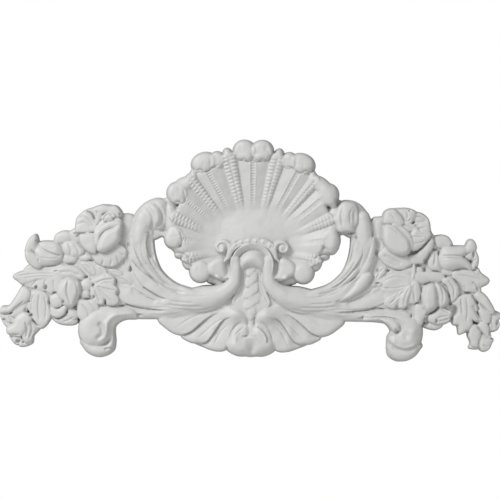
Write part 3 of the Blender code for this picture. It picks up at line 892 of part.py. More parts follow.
def bells_right(work):
    """The right bell flowers, and the toothed leaf beside them."""
    forms(work, (
        (12.5, 0.9, (0, 0), [(-219, -83.7), (-228, -84), (-228.5, -79.5), (-220, -80.5)]),
        (14.8, 1.2, (0, 0), [(-230, -69), (-236, -73), (-242.3, -74.5), (-240.7, -79), (-238.3, -84),
            (-233.5, -86.5), (-228.8, -84), (-228, -77)]),
        (14.8, 1.2, (-0.03, 0), [(-241, -46.5), (-248, -48.3), (-250.5, -52), (-247.3, -55),
            (-248.3, -60), (-246, -65), (-240, -66.3), (-237.5, -62), (-239.5, -54)]),
        (16.0, 1.2, (0, 0.02), [(-220, -61), (-225, -60), (-229.5, -66), (-229.5, -74), (-227.7, -82),
            (-221, -81.5), (-219.5, -76), (-217, -69.5)]),
        (16.3, 1.2, (-0.05, 0.02), [(-226, -61), (-231, -57), (-236.5, -59.5), (-239, -67),
            (-239.8, -73.5), (-235.5, -72.5), (-230, -67)]),
        (15.8, 1.2, (-0.03, 0.03), [(-227.5, -38.5), (-233, -43.5), (-239.5, -49.5), (-239.7, -57),
            (-234, -59), (-230, -55), (-226.5, -46)]),
        (17.8, 1.5, (-0.10, 0), [(-227, -27.2), (-233, -30), (-238.5, -37), (-243.3, -46.7), (-239, -49),
            (-233, -43.5), (-227.5, -38), (-222, -31)]),
        (16.8, 1.2, (0, 0.02), [(-207.5, -31.7), (-213, -29.7), (-219.5, -29.7), (-223.5, -35),
            (-227, -43.5), (-225.5, -48), (-231, -57.5), (-224, -57), (-221, -55), (-221.3, -60),
            (-217, -66), (-213, -68), (-208.3, -69.5), (-207.3, -64), (-206, -61), (-202, -59.3),
            (-201.3, -53), (-205, -48), (-205.5, -43), (-200.5, -39.5), (-203, -36)])))
    lines(work, (
        (0.75, 1.8, [(-228, -38.3), (-233, -43), (-240, -49)]),
        (0.75, 1.8, [(-226, -61.5), (-231, -67.5), (-238, -74)]),
        (0.75, 1.2, [(-228.5, -74), (-227.7, -82)]),
        (0.95, 1.2, [(-209.5, -33), (-210, -42), (-211, -50)]),
        (0.75, 0.9, [(-214.5, -32), (-216, -44), (-215, -58)]),
        (1.6, 1.4, [(-221, -40), (-226, -49), (-229, -56)]),
        (0.85, 2.2, [(-220, -30), (-224, -36.5), (-227, -44)]),
        (0.7, 1.2, [(-239.7, -52), (-240, -58), (-243, -64)]),
        (0.75, 1.2, [(-232, -80), (-237, -82.5)])))
    work.pits((
        (-246, -58, 1.2, 2.4, 3), (-206, -61.5, 1.4, 1.2, 4), (-227, -44, 1.1, 1.3, 3),
        (-227.5, -57, 3.0, 1.2, 2), (-228.5, -83.7, 1.3, 0.9, 3), (-216, -67.5, 1.8, 1.6, 4.5),
        (-238.5, -68.5, 0.9, 3.0, 2), (-201, -43.5, 2.0, 1.5, 1.5)))


def right_bouquet(work):
    """The right bouquet, laid on a plate as the left one is."""
    work.lobe([(-104, -10), (-116, 30), (-121, 45), (-132, 46), (-150, 52), (-172, 45), (-180, 30),
               (-197, 18), (-205, 0), (-224, -6), (-228, -20), (-224, -40), (-216, -60), (-203, -57),
               (-172, -58), (-150, -48), (-118, -40)], 13.2, puff=0)
    work.lobe([(-121, 28), (-120.3, 38), (-123, 44.5), (-130, 46.5), (-132, 40), (-131.5, 25), (-127, 17),
               (-122.5, 20)], 14)
    bells_right(work)
    leaves_right(work)
    blossom_right(work)
    tulip_right(work)
    leaf_cluster_right(work)
    bud_right(work)
    rose_right(work)


def carve(work):
    """The whole front, from the lowest forms to the highest."""
    palmette(work)
    shell(work)
    shell_knobs(work)
    stem(work)
    for work.hand in (1, -1):
        arm(work)
    right_leaf_tips(work)
    right_foot(work)
    right_curl(work)
    work.hand = 1
    left_foot(work)
    left_curl(work)
    arch(work)
    left_bouquet(work)
    work.hand = -1
    right_bouquet(work)
    work.soften(SOFTENING)


def casting_material():
    """Primed white, as the casting is sold, ready to paint."""
    material = bpy.data.materials.new("primed_white_casting")
    material.use_nodes = True
    shader = material.node_tree.nodes["Principled BSDF"]
    shader.inputs["Base Color"].default_value = (0.62, 0.62, 0.61, 1)
    shader.inputs["Roughness"].default_value = 0.55
    shader.inputs["Metallic"].default_value = 0.0
    return material


def carved_grid():
    """A grid raised to the carving, which dips behind the back plane outside the casting."""
    columns = round(2 * SHEET_REACH * UNIT / CARVING_STEP)
    rows = round((SHEET_TOP - SHEET_BOTTOM) * UNIT / CARVING_STEP)
    bpy.ops.mesh.primitive_grid_add(x_subdivisions=columns, y_subdivisions=rows, size=1)
    grid = bpy.context.active_object
    across = np.linspace(-SHEET_REACH, SHEET_REACH, columns + 1)
    up = np.linspace(SHEET_BOTTOM, SHEET_TOP, rows + 1)
    x, z = np.meshgrid(across, up)
    work = Carving(x, z)
    carve(work)
    for border in (work.height[0], work.height[-1], work.height[:, 0], work.height[:, -1]):
        border[:] = GROUND
    places = np.stack([x * UNIT, -work.height * HEIGHT_UNIT, z * UNIT], axis=-1)
    grid.data.vertices.foreach_set("co", places.ravel().astype(np.float32))
    thin = grid.modifiers.new("thin", "DECIMATE")
    thin.ratio = KEPT_FACES
    thin.use_collapse_triangulate = True
    return grid


def closed_on_back(grid):
    """The casting's mesh: the thinned surface, cut off at the back plane and closed by one flat back."""
    thinned = bpy.data.meshes.new_from_object(grid.evaluated_get(bpy.context.evaluated_depsgraph_get()))
    bpy.data.objects.remove(grid)
    work = bmesh.new()
    work.from_mesh(thinned)
    bpy.data.meshes.remove(thinned)
    everything = work.verts[:] + work.edges[:] + work.faces[:]
    bmesh.ops.bisect_plane(work, geom=everything, plane_co=(0, 0, 0), plane_no=(0, 1, 0), clear_outer=True)
    rim = [edge for edge in work.edges if edge.is_boundary]
    bmesh.ops.triangle_fill(work, edges=rim, normal=(0, 1, 0), use_beauty=True)
    bmesh.ops.recalc_face_normals(work, faces=work.faces)
    mesh = bpy.data.meshes.new("onlay")
    work.to_mesh(mesh)
    work.free()
    return mesh


def build():
    for old in list(bpy.data.objects):
        bpy.data.objects.remove(old)
    collection = bpy.data.collections.new("drop_onlay")
    bpy.context.scene.collection.children.link(collection)
    grid = carved_grid()
    onlay = bpy.data.objects.new("onlay", closed_on_back(grid))
    onlay.data.materials.append(casting_material())
    onlay.data.shade_smooth()
    onlay.data.set_sharp_from_angle(angle=math.radians(50))
    collection.objects.link(onlay)


build()
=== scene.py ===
# %% [markdown]
# # A drop onlay in primed white
# A drop onlay is a cast ornament that is glued over a door, a mantel or a bed. This one is a single
# moulded polyurethane piece, so it is modelled as one piece too. The solid model is loaded first as a
# fixed frame, and the finer carving is made over it, in the same place and at the same size.

# %% Load the frame
import math

import bmesh
import bpy
import numpy as np
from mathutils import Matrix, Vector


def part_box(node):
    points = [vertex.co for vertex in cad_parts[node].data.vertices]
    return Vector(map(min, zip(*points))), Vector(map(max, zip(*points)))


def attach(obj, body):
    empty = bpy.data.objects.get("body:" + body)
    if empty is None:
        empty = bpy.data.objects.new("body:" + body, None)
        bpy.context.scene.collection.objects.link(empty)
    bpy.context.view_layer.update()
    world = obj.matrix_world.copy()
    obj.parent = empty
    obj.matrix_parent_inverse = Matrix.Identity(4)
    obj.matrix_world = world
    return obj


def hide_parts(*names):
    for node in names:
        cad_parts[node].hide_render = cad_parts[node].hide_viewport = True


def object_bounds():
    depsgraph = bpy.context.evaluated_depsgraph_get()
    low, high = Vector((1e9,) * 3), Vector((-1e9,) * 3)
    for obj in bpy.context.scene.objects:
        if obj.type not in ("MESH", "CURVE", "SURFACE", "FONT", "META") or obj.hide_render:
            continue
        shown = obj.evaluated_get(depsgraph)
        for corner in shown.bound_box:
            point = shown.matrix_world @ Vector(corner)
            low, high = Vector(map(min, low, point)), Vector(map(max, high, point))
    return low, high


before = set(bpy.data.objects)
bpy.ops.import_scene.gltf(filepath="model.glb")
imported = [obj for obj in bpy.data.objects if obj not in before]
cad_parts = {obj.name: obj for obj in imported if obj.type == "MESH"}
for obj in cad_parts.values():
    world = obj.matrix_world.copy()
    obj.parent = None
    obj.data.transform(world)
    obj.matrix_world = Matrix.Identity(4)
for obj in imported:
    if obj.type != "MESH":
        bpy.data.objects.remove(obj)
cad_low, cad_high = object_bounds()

print("The solid runs from", [round(v, 4) for v in cad_low], "to", [round(v, 4) for v in cad_high])

# %% [markdown]
# ## Drawing units
# The ornament is drawn on squared paper, about 500 squares wide, with x to the right and z up. One square
# is a little over a millimetre. Heights are measured from the flat back. Both scales are read from the
# solid, so the finished piece has its size.

# %% Scales from the solid
DRAWN_REACH = 504.4
DRAWN_PROJECTION = 25.8
UNIT = (cad_high[0] - cad_low[0]) / DRAWN_REACH
HEIGHT_UNIT = (cad_high[1] - cad_low[1]) / DRAWN_PROJECTION
DRAWN_LEFT, DRAWN_RIGHT = -256.0, 256.0
DRAWN_BOTTOM, DRAWN_TOP = -104.0, 130.0
STEP = 0.6
print("One drawing unit is", round(UNIT * 1000, 3), "mm across and", round(HEIGHT_UNIT * 1000, 3),
      "mm high")

# %% [markdown]
# ## Lines and outlines
# A carver draws with few, well placed points and a springy batten. Catmull-Rom splines do the same: they
# pass through every point, so a leaf or a scroll needs only a handful. The next two cells hold the few
# geometry helpers that everything else is drawn with.

# %% Smooth lines
def curve(points, spans=6):
    """A smooth open line through all the points."""
    p = np.array(points, float)
    p = np.vstack([2 * p[0] - p[1], p, 2 * p[-1] - p[-2]])
    return np.vstack([spline(*four, spans) for four in zip(p, p[1:], p[2:], p[3:])] + [p[-2:-1]])


def ring(points, spans=5):
    """A smooth closed outline through all the points."""
    p = np.array(points, float)
    p = np.vstack([p[-1:], p, p[:2]])
    return np.vstack([spline(*four, spans) for four in zip(p, p[1:], p[2:], p[3:])] + [p[1:2]])


def spline(a, b, c, d, spans):
    """Points from b towards c on the curve through a, b, c and d."""
    t = np.linspace(0, 1, spans, endpoint=False)[:, None]
    return 0.5 * (2 * b + (c - a) * t + (2 * a - 5 * b + 4 * c - d) * t**2 + (3 * b - 3 * c + d - a) * t**3)


def along(sizes, share):
    """A size at each share of a line's length: one number, or a few that are evenly spaced along it."""
    if np.isscalar(sizes):
        return np.full_like(share, float(sizes))
    table = curve([[size] for size in sizes], 8)[:, 0]
    return np.interp(share, np.linspace(0, 1, len(table)), table)


print("A spline through 3 points has", len(curve([(0, 0), (1, 1), (2, 0)])), "points")

# %% Where points lie beside a line
def nearest(path, x, z):
    """How far along a path each point lies, as a share of its length, and how far to its left."""
    steps = path[1:] - path[:-1]
    lengths = np.maximum(np.hypot(steps[:, 0], steps[:, 1]), 1e-9)
    starts = np.concatenate([[0], np.cumsum(lengths)])
    best = np.full(x.shape, np.inf)
    share = np.zeros(x.shape)
    side = np.ones(x.shape)
    for (px, pz), (dx, dz), length, start in zip(path, steps, lengths, starts):
        rx = x - px
        rz = z - pz
        t = np.clip((rx * dx + rz * dz) / length**2, 0, 1)
        gap = (rx - t * dx)**2 + (rz - t * dz)**2
        closer = gap < best
        best[closer] = gap[closer]
        share[closer] = ((start + t * length) / starts[-1])[closer]
        side[closer] = np.where(dx * rz - dz * rx >= 0, 1.0, -1.0)[closer]
    return share, side * np.sqrt(best)


def depth_inside(outline, x, z):
    """How far each point lies inside a closed outline, negative outside it."""
    crossings = np.zeros(x.shape, int)
    for (ax, az), (bx, bz) in zip(outline[:-1], outline[1:]):
        if az != bz:
            crossings += ((az > z) != (bz > z)) & (x < ax + (z - az) * (bx - ax) / (bz - az))
    return np.where(crossings % 2 == 1, 1.0, -1.0) * np.abs(nearest(outline, x, z)[1])


middle = depth_inside(ring([(0, 0), (0, 2), (2, 2), (2, 0)]), np.ones(1), np.ones(1))[0]
print("The middle of a rounded square of 2 units lies", round(middle, 2), "units inside it")

# %% [markdown]
# ## A carving as a field of heights
# A relief has no undercuts that the eye would miss, so it can be a height for every point of a grid. It
# is worked like clay: a roll, a petal or a bead is laid on, and wherever two forms meet the higher one
# shows. A steepening wall round each form gives the dark seam that real petals have where one lies on the
# next.

# %% Edges and smoothing
# How steep a form's wall is where it starts, and how fast it gets steeper
DRAFT = 4.0
WALL_BEND = 6.0


def shoulder(inside, rounding):
    """How far a form has dropped near its edge: a rounded shoulder, then a wall that gets steeper."""
    near = np.clip(inside, 0, rounding)
    past = np.minimum(inside, 0)
    return rounding - np.sqrt(rounding**2 - (rounding - near)**2) - DRAFT * past + WALL_BEND * past**2


def smoothed(field, reach):
    """A field with every value shared out over its neighbours, on a bell curve of so many grid steps."""
    span = max(1, math.ceil(2.5 * reach))
    offsets = np.arange(-span, span + 1)
    weights = np.exp(-(offsets / reach)**2 / 2)
    weights /= weights.sum()
    for axis in (0, 1):
        field = sum(weight * np.roll(field, offset, axis) for offset, weight in zip(offsets, weights))
    return field


def fading(share, fade):
    """Full strength along a line, falling to next to nothing at its two ends."""
    return np.clip(fade * np.minimum(share, 1 - share) + 0.05, 0, 1)


print("A wall starts to fall", DRAFT, "units for each unit out")

# %% A sheet to carve
GROUND = -8.0


class Sheet:
    """Heights above the flat back over a grid of points, in drawing units, and the side being worked."""

    def __init__(self, x, z):
        self.x = x
        self.z = z
        self.step = x[0, 1] - x[0, 0]
        self.height = np.full(x.shape, GROUND)
        self.hand = 1

    def place(self, points):
        """Points drawn for the left side, set on the side being worked."""
        return [(x * self.hand, z) for x, z in points]

    def window(self, points, reach):
        """The part of the grid that holds the points, with a margin round them."""
        low = np.min(points, axis=0) - reach
        high = np.max(points, axis=0) + reach
        columns = slice(*np.searchsorted(self.x[0], (low[0], high[0])))
        rows = slice(*np.searchsorted(self.z[:, 0], (low[1], high[1])))
        return rows, columns

    def lay(self, window, surface, fillet=0.0):
        """Keeps whatever is higher, with a fillet where the new form meets the old."""
        here = self.height[window]
        top = np.maximum(here, surface)
        if fillet:
            close = np.clip(1 - np.abs(here - surface) / fillet, 0, 1)
            top = top + np.where(np.minimum(here, surface) > 0, fillet * close**2 / 4, 0)
        self.height[window] = top

    def raise_by(self, window, rise, floor=0.0):
        """Raises or lowers whatever stands above a floor, and leaves the bare ground alone."""
        surface = self.height[window]
        self.height[window] = surface + np.where(surface > floor, rise, 0)


print("Bare ground lies", -GROUND, "units below the back")

# %% [markdown]
# Three forms make everything that stands up: a rib along a line, a lobe inside an outline and a knob round
# a point. Each works out its own height at every point near it, drops off in a wall at its edge, and is
# laid over what is there. Meshes joined by Boolean modifiers would be far slower for some 200 forms.

# %% Forms that are laid on
# How far a wall is followed outwards, the rounding of a petal's edge and of a bead's, and the least half
# width of a rib
WALL_REACH = 4.0
ROUNDING = 1.2
KNOB_ROUNDING = 1.6
THINNEST = 0.25
# How far in from its edge a petal's dome is smoothed, as a share of its fall
DOME_SHARE = 0.18


class Forms(Sheet):
    """The rib, the lobe and the knob."""

    def rib(self, line, half, crest, crown=2.0, tilt=0.0, power=2.0, rounding=ROUNDING, fillet=0.0):
        """A roll or leaf along a line, given its half width, crest, crown and tilt along the way."""
        path = curve(self.place(line))
        window = self.window(path, np.max(half) + WALL_REACH)
        share, side = nearest(path, self.x[window], self.z[window])
        width = np.maximum(along(half, share), THINNEST)
        across = np.clip(side / width, -1, 1)
        surface = along(crest, share) - along(crown, share) * np.abs(across)**along(power, share)
        surface += self.hand * along(tilt, share) * across
        self.lay(window, surface - shoulder(width - np.abs(side), rounding), fillet)

    def lobe(self, outline, top, puff=2.0, fall=5.0, slope=(0, 0), rounding=ROUNDING, fillet=0.0):
        """A petal, leaf or plate inside an outline, puffed up from its edge and tipped by its slope."""
        path = ring(self.place(outline))
        window = self.window(path, WALL_REACH)
        inside = depth_inside(path, self.x[window], self.z[window])
        middle = path.mean(axis=0)
        domed = smoothed(inside, DOME_SHARE * fall / self.step)
        surface = top - puff * np.clip(1 - domed / fall, 0, 1)**2
        surface += slope[0] * self.hand * (self.x[window] - middle[0])
        surface += slope[1] * (self.z[window] - middle[1])
        self.lay(window, surface - shoulder(inside, rounding), fillet)

    def knob(self, x, z, across, up, top, base, turn=0.0, power=2.4, full=0.55, fillet=0.0):
        """A ball or bead: its middle, half sizes, top and base heights, and how far it is turned."""
        middle_x = x * self.hand
        window = self.window([(middle_x, z)], max(across, up) + WALL_REACH)
        c = math.cos(math.radians(turn * self.hand))
        s = math.sin(math.radians(turn * self.hand))
        dx = self.x[window] - middle_x
        dz = self.z[window] - z
        out = np.hypot((c * dx + s * dz) / across, (c * dz - s * dx) / up)
        surface = base + (top - base) * (1 - np.clip(out, 0, 1)**power)**full
        self.lay(window, surface - shoulder((1 - out) * min(across, up), KNOB_ROUNDING), fillet)


print("A petal's edge is rounded over", ROUNDING, "units and a bead's over", KNOB_ROUNDING)

# %% [markdown]
# The tools that change a form after it is laid are a carver's own: a gouge for grooves, a knife that lets
# one leaf slip under another, a thumb for swellings, and a drill for the dark pits where petals part.

# %% Tools that change what is laid
# The width of a fold's drop, and the depth of the crease at its foot, as a share of the drop
FOLD_WIDTH = 0.6
CREASE_SHARE = 0.4
PIT_FLOOR = 9.0


class Carving(Forms):
    """The groove, the fold, the swelling and the pit."""

    def cut(self, line, half, depth, fade=8.0):
        """A groove along a line that fades out at its ends. A negative depth makes a ridge."""
        path = curve(self.place(line))
        window = self.window(path, 3 * np.max(half) + 1)
        share, side = nearest(path, self.x[window], self.z[window])
        taken = fading(share, fade) * along(depth, share) * np.exp(-(side / along(half, share))**2)
        self.raise_by(window, -taken)

    def fold(self, line, reach, depth, fade=8.0):
        """An overlap along a line: the surface drops to the left of the line, then comes back up."""
        path = curve(self.place(line))
        window = self.window(path, 3 * reach + 1)
        share, side = nearest(path, self.x[window], self.z[window])
        past = side * self.hand
        edge = np.clip(past / FOLD_WIDTH + 0.5, 0, 1)
        tail = np.exp(-np.clip(past / reach, 0, None)**1.5)
        crease = CREASE_SHARE * np.exp(-((past - 0.4) / FOLD_WIDTH)**2)
        self.raise_by(window, -(fading(share, fade) * along(depth, share) * (edge * tail + crease)))

    def swell(self, x, z, across, up, rise):
        """A soft swelling, or a hollow when the rise is negative: its middle, half sizes and rise."""
        window = self.window([(x * self.hand, z)], 2.5 * max(across, up))
        away = ((self.x[window] - x * self.hand) / across)**2 + ((self.z[window] - z) / up)**2
        self.raise_by(window, rise * np.exp(-away))

    def pits(self, spots):
        """Deep little hollows where petals part: the middle, half sizes and depth of each."""
        for x, z, across, up, depth in spots:
            window = self.window([(x * self.hand, z)], 2.2 * max(across, up))
            out = np.hypot((self.x[window] - x * self.hand) / across, (self.z[window] - z) / up)
            surface = self.height[window]
            sunk = np.maximum(surface - depth * np.exp(-out**3), PIT_FLOOR)
            self.height[window] = np.where(surface > PIT_FLOOR, sunk, surface)

    def soften(self, radius):
        """Rounds every edge a little, as paint on a casting does."""
        self.height = smoothed(self.height, radius / self.step)


print("No pit goes below", PIT_FLOOR, "units above the back")

# %% Start the grid
columns = round((DRAWN_RIGHT - DRAWN_LEFT) / STEP)
rows = round((DRAWN_TOP - DRAWN_BOTTOM) / STEP)
grid_x, grid_z = np.meshgrid(np.linspace(DRAWN_LEFT, DRAWN_RIGHT, columns + 1),
                             np.linspace(DRAWN_BOTTOM, DRAWN_TOP, rows + 1))
work = Carving(grid_x, grid_z)


def say(name):
    """Prints how much of the drawing is covered so far."""
    covered = np.mean(work.height > 0)
    print(f"{name}: {covered:.1%} of the sheet is covered, highest point {work.height.max():.1f} units")


print("The sheet has", work.height.size, "points")

# %% [markdown]
# ## The fan of leaves below
# The palmette hangs under everything else, so it is laid first: three leaves to each side that overlap
# like roof tiles, two soft shoulders under the stem, and a round bulb at the foot.

# %% Carve the palmette
def palmette(work):
    """The fan below: three stepped leaves to each side that spring from two shoulders, and a bulb."""
    for work.hand in (1, -1):
        work.lobe([(4, -34), (-30, -34), (-70, -43), (-93, -58), (-84, -68), (-70, -73), (-59, -81),
                   (-44, -87), (-25, -88), (4, -82)], 6.5)
        work.lobe([(-3, -57), (-6, -51), (-10, -48), (-16, -44), (-30, -40), (-50, -40), (-76, -46),
                   (-86, -51.5), (-93.3, -59.2), (-84.4, -68), (-77, -72.5), (-70, -74.5), (-68.5, -77),
                   (-60, -81.3), (-51, -82.3), (-47, -85.7), (-36, -89.3), (-26, -88.5), (-19, -80),
                   (-8, -66), (-4, -64)], 13, slope=(0.02, -0.02))
        work.fold([(-30, -51), (-38, -53), (-47, -59), (-55, -66), (-62, -71.3), (-72, -74.6)], 8,
                  [0, 2, 3.2, 3.4, 3.4])
        work.fold([(-18, -54.5), (-28, -58.3), (-34, -66), (-40, -75), (-45, -80.5), (-53, -82.6)], 8,
                  [0, 2.5, 3.2, 3.2, 3.2])
        work.fold([(-24, -44), (-45, -48), (-66, -52), (-84, -60)], 5, [0, 0.9, 0.9, 0])
        work.swell(-15, -53, 11, 8, 5.0)
        work.swell(-38, -74, 4, 9, 1.2)
        work.swell(-57, -71, 5, 7, 1.0)
        work.lobe([(-8, -59.5), (-14.5, -62.5), (-19.5, -68.5), (-23.3, -76), (-25.2, -84), (-22.5, -89.5),
                   (-14, -93.8), (-6, -94.2), (3, -92), (1, -66), (-2, -62.5)], 18, puff=6.5, fall=10,
                  slope=(0, 0.03), rounding=1.8, fillet=2.5)
        work.fold([(-15.4, -82), (-15.2, -75), (-11.4, -68.8), (-5, -64)], 4, [0.5, 2.4, 2.6, 1.0])
    work.hand = 1
    work.lobe([(-10, -80), (-9.3, -76), (-5, -73), (0.5, -71.8), (6, -73), (10.3, -76.5), (11, -82),
               (7, -88), (0, -89), (-7, -87)], 17.8, slope=(0, 0.16), fillet=1.0)
    work.swell(0.6, -84.5, 4.5, 5, -1.6)
    work.pits(((-6, -74.3, 3.6, 0.8, 1), (-24.3, -88, 1.3, 2.2, 3.5)))


palmette(work)
say("carve the palmette")

# %% [markdown]
# ## The scallop shell
# A shell is easiest in polar form: every point has an angle and a share of the way out to the rim. Rays
# are then plain functions of the angle. Knobs end every second ray, and rows of beads run down the rays
# between.

# %% Values and places on the shell
# The point that the rays start from, and the half sizes and height of the smooth heart over it
RAY_CENTRE_Z = 7.0
HEART = (47.0, 32.0)
HEART_Z = 20.0
# The angles of the roofed rays from straight up, and the rim's reach at some angles
KNOB_ANGLES = (0.0, 28.5, 50.9, 78.6, 109.7, 140.0)
RIM_ANGLES = (0, 10, 14.25, 19, 28.5, 35.5, 39.7, 44, 50.9, 60, 66, 71, 78.6, 90, 95, 100, 109.7, 125, 140)
RIM_REACH = (100, 103, 106.5, 102, 98, 99, 103, 99, 90, 88, 92, 84, 74, 68, 71, 62, 47, 42, 30)
# How much of the way between two roofed rays a roof and a rounded ray take up to each side
ROOF_SHARE = 0.335
ROUND_SHARE = 0.165


def shell_places(work):
    """Where each point lies on the shell: how far out, at what angle, and where across its ray."""
    window = work.window([(-92, -28), (92, 118)], 2)
    x = np.abs(work.x[window])
    z = work.z[window] - RAY_CENTRE_Z
    reach = np.hypot(x, z)
    angle = np.degrees(np.arctan2(x, z))
    edge = np.interp(angle, RIM_ANGLES, RIM_REACH)
    out = np.clip(reach / edge, 0, 1)
    swept = angle + np.clip(angle - 60, 0, None) * 0.4 * (1 - out)
    ray = np.clip(np.searchsorted(KNOB_ANGLES, swept, side="right") - 1, 0, len(KNOB_ANGLES) - 2)
    first = np.take(KNOB_ANGLES, ray)
    gap = np.take(KNOB_ANGLES, ray + 1) - first
    share = np.clip((swept - first) / gap, 0, 1)
    heart = np.hypot(work.x[window] / HEART[0], (work.z[window] - HEART_Z) / HEART[1])
    return window, reach, edge, angle, out, np.radians(gap) * reach, share, heart


print("Roofed rays lie at", KNOB_ANGLES[:-1], "degrees from straight up")

# %% Carve the shell
# The shell's height round its heart, and how much its rim, its heart and each kind of ray rise above that
SHELL_HEIGHT = 10.5
RIM_RISE = 7
HEART_RISE = 5.5
ROOF_RISE = 2.5
STRIP_DEPTH = 0.9
ROUND_RISE = 4.6
ROUND_FOOT = 1.2
RIM_ROUNDING = 3.0
SHELL_END_ANGLE = 138


def shell(work):
    """The scallop: roofed rays that end in knobs, rounded rays between them, and a smooth heart."""
    window, reach, edge, angle, out, ray_width, share, heart = shell_places(work)
    from_roof = np.minimum(share, 1 - share)
    from_round = np.abs(share - 0.5)
    begun = np.clip((heart - 0.85) / 0.6, 0, 1)
    grown = begun**2 * (3 - 2 * begun) * (0.45 + 0.55 * np.clip((out - 0.42) / 0.5, 0, 1))
    roof = ROOF_RISE * (1 - np.clip(from_roof / ROOF_SHARE, 0, 1)**2)
    strip = STRIP_DEPTH * np.exp(-(from_roof * ray_width / (1.1 + 1.7 * out))**4)
    rounded = ROUND_RISE * np.sqrt(1 - np.clip(from_round / ROUND_SHARE, 0, 1)**2.2) - ROUND_FOOT
    surface = SHELL_HEIGHT + RIM_RISE * np.clip((out - 0.45) / 0.5, 0, 1)
    surface += grown * np.maximum(roof - strip, rounded)
    surface += HEART_RISE * np.clip(1 - (heart / 1.15)**2, 0, 1)**2
    surface -= shoulder(edge - reach, RIM_ROUNDING)
    work.lay(window, np.where(angle < SHELL_END_ANGLE, surface, GROUND))


shell(work)
say("carve the shell")

# %% [markdown]
# ## Beads on the shell
# The beads are too small for the solid. On the real piece the larger ones follow each other every 4 mm or
# so, and the smaller ones every 3 mm. Placing hundreds of little balls would be slow to draw and to
# change. A product of two sine waves gives the same rows, and one number sets how close they stand.

# %% Bead the shell
BEAD_PITCH = 3.6
BEAD_HEIGHT = 1.3
SEAM_DEPTH = 0.5
SMALL_BEAD_PITCH = 2.7
SMALL_BEAD_HEIGHT = 1.2
BEADS_END_ANGLE = 108


def shell_beads(work):
    """Two rows of beads down each rounded ray, and two finer rows in the strip down each roofed ray."""
    window, reach, _, angle, out, ray_width, share, heart = shell_places(work)
    grown = np.clip((heart - 1.1) / 0.3, 0, 1) * np.clip((0.985 - out) / 0.03, 0, 1)
    grown *= angle < BEADS_END_ANGLE
    across = (share - 0.5) / ROUND_SHARE
    rows = np.abs(np.sin(np.pi * np.clip(across * 0.92, -1, 1)))
    along_ray = np.pi * reach / BEAD_PITCH + np.where(across > 0, 0.9, 0)
    beads = BEAD_HEIGHT * rows**0.8 * (np.abs(np.sin(along_ray))**0.8 - 0.62)
    beads -= SEAM_DEPTH * np.exp(-(across / 0.16)**2)
    beads = np.where(np.abs(across) < 1, beads * (0.55 + 0.6 * out), 0)
    from_roof = np.minimum(share, 1 - share) * ray_width
    line = from_roof / (1.0 + 1.5 * out)
    notches = np.abs(np.sin(np.pi * reach / SMALL_BEAD_PITCH))**0.8 - 0.6
    small = SMALL_BEAD_HEIGHT * np.abs(np.sin(np.pi * np.clip(line, 0, 1)))**0.8 * notches
    small = np.where(line < 1, small, 0) + 0.55 * np.exp(-((line - 1.25) / 0.22)**2)
    work.raise_by(window, grown * (beads + small), floor=4)


shell_beads(work)
say("bead the shell")

# %% [markdown]
# ## Rolled tips
# Every second ray ends in a tip that turns over, like the curled edge of a leaf. A tip is a broad knob with
# smaller ones under it, and a fillet lets them run into each other, as wet plaster would. Balls from
# Blender's own menu would meet in hard lines here.

# %% Roll the tips of the shell
# A broad roll is flatter on top than a bead, and falls faster at its edge
BROAD = {"power": 3.0, "full": 0.5}


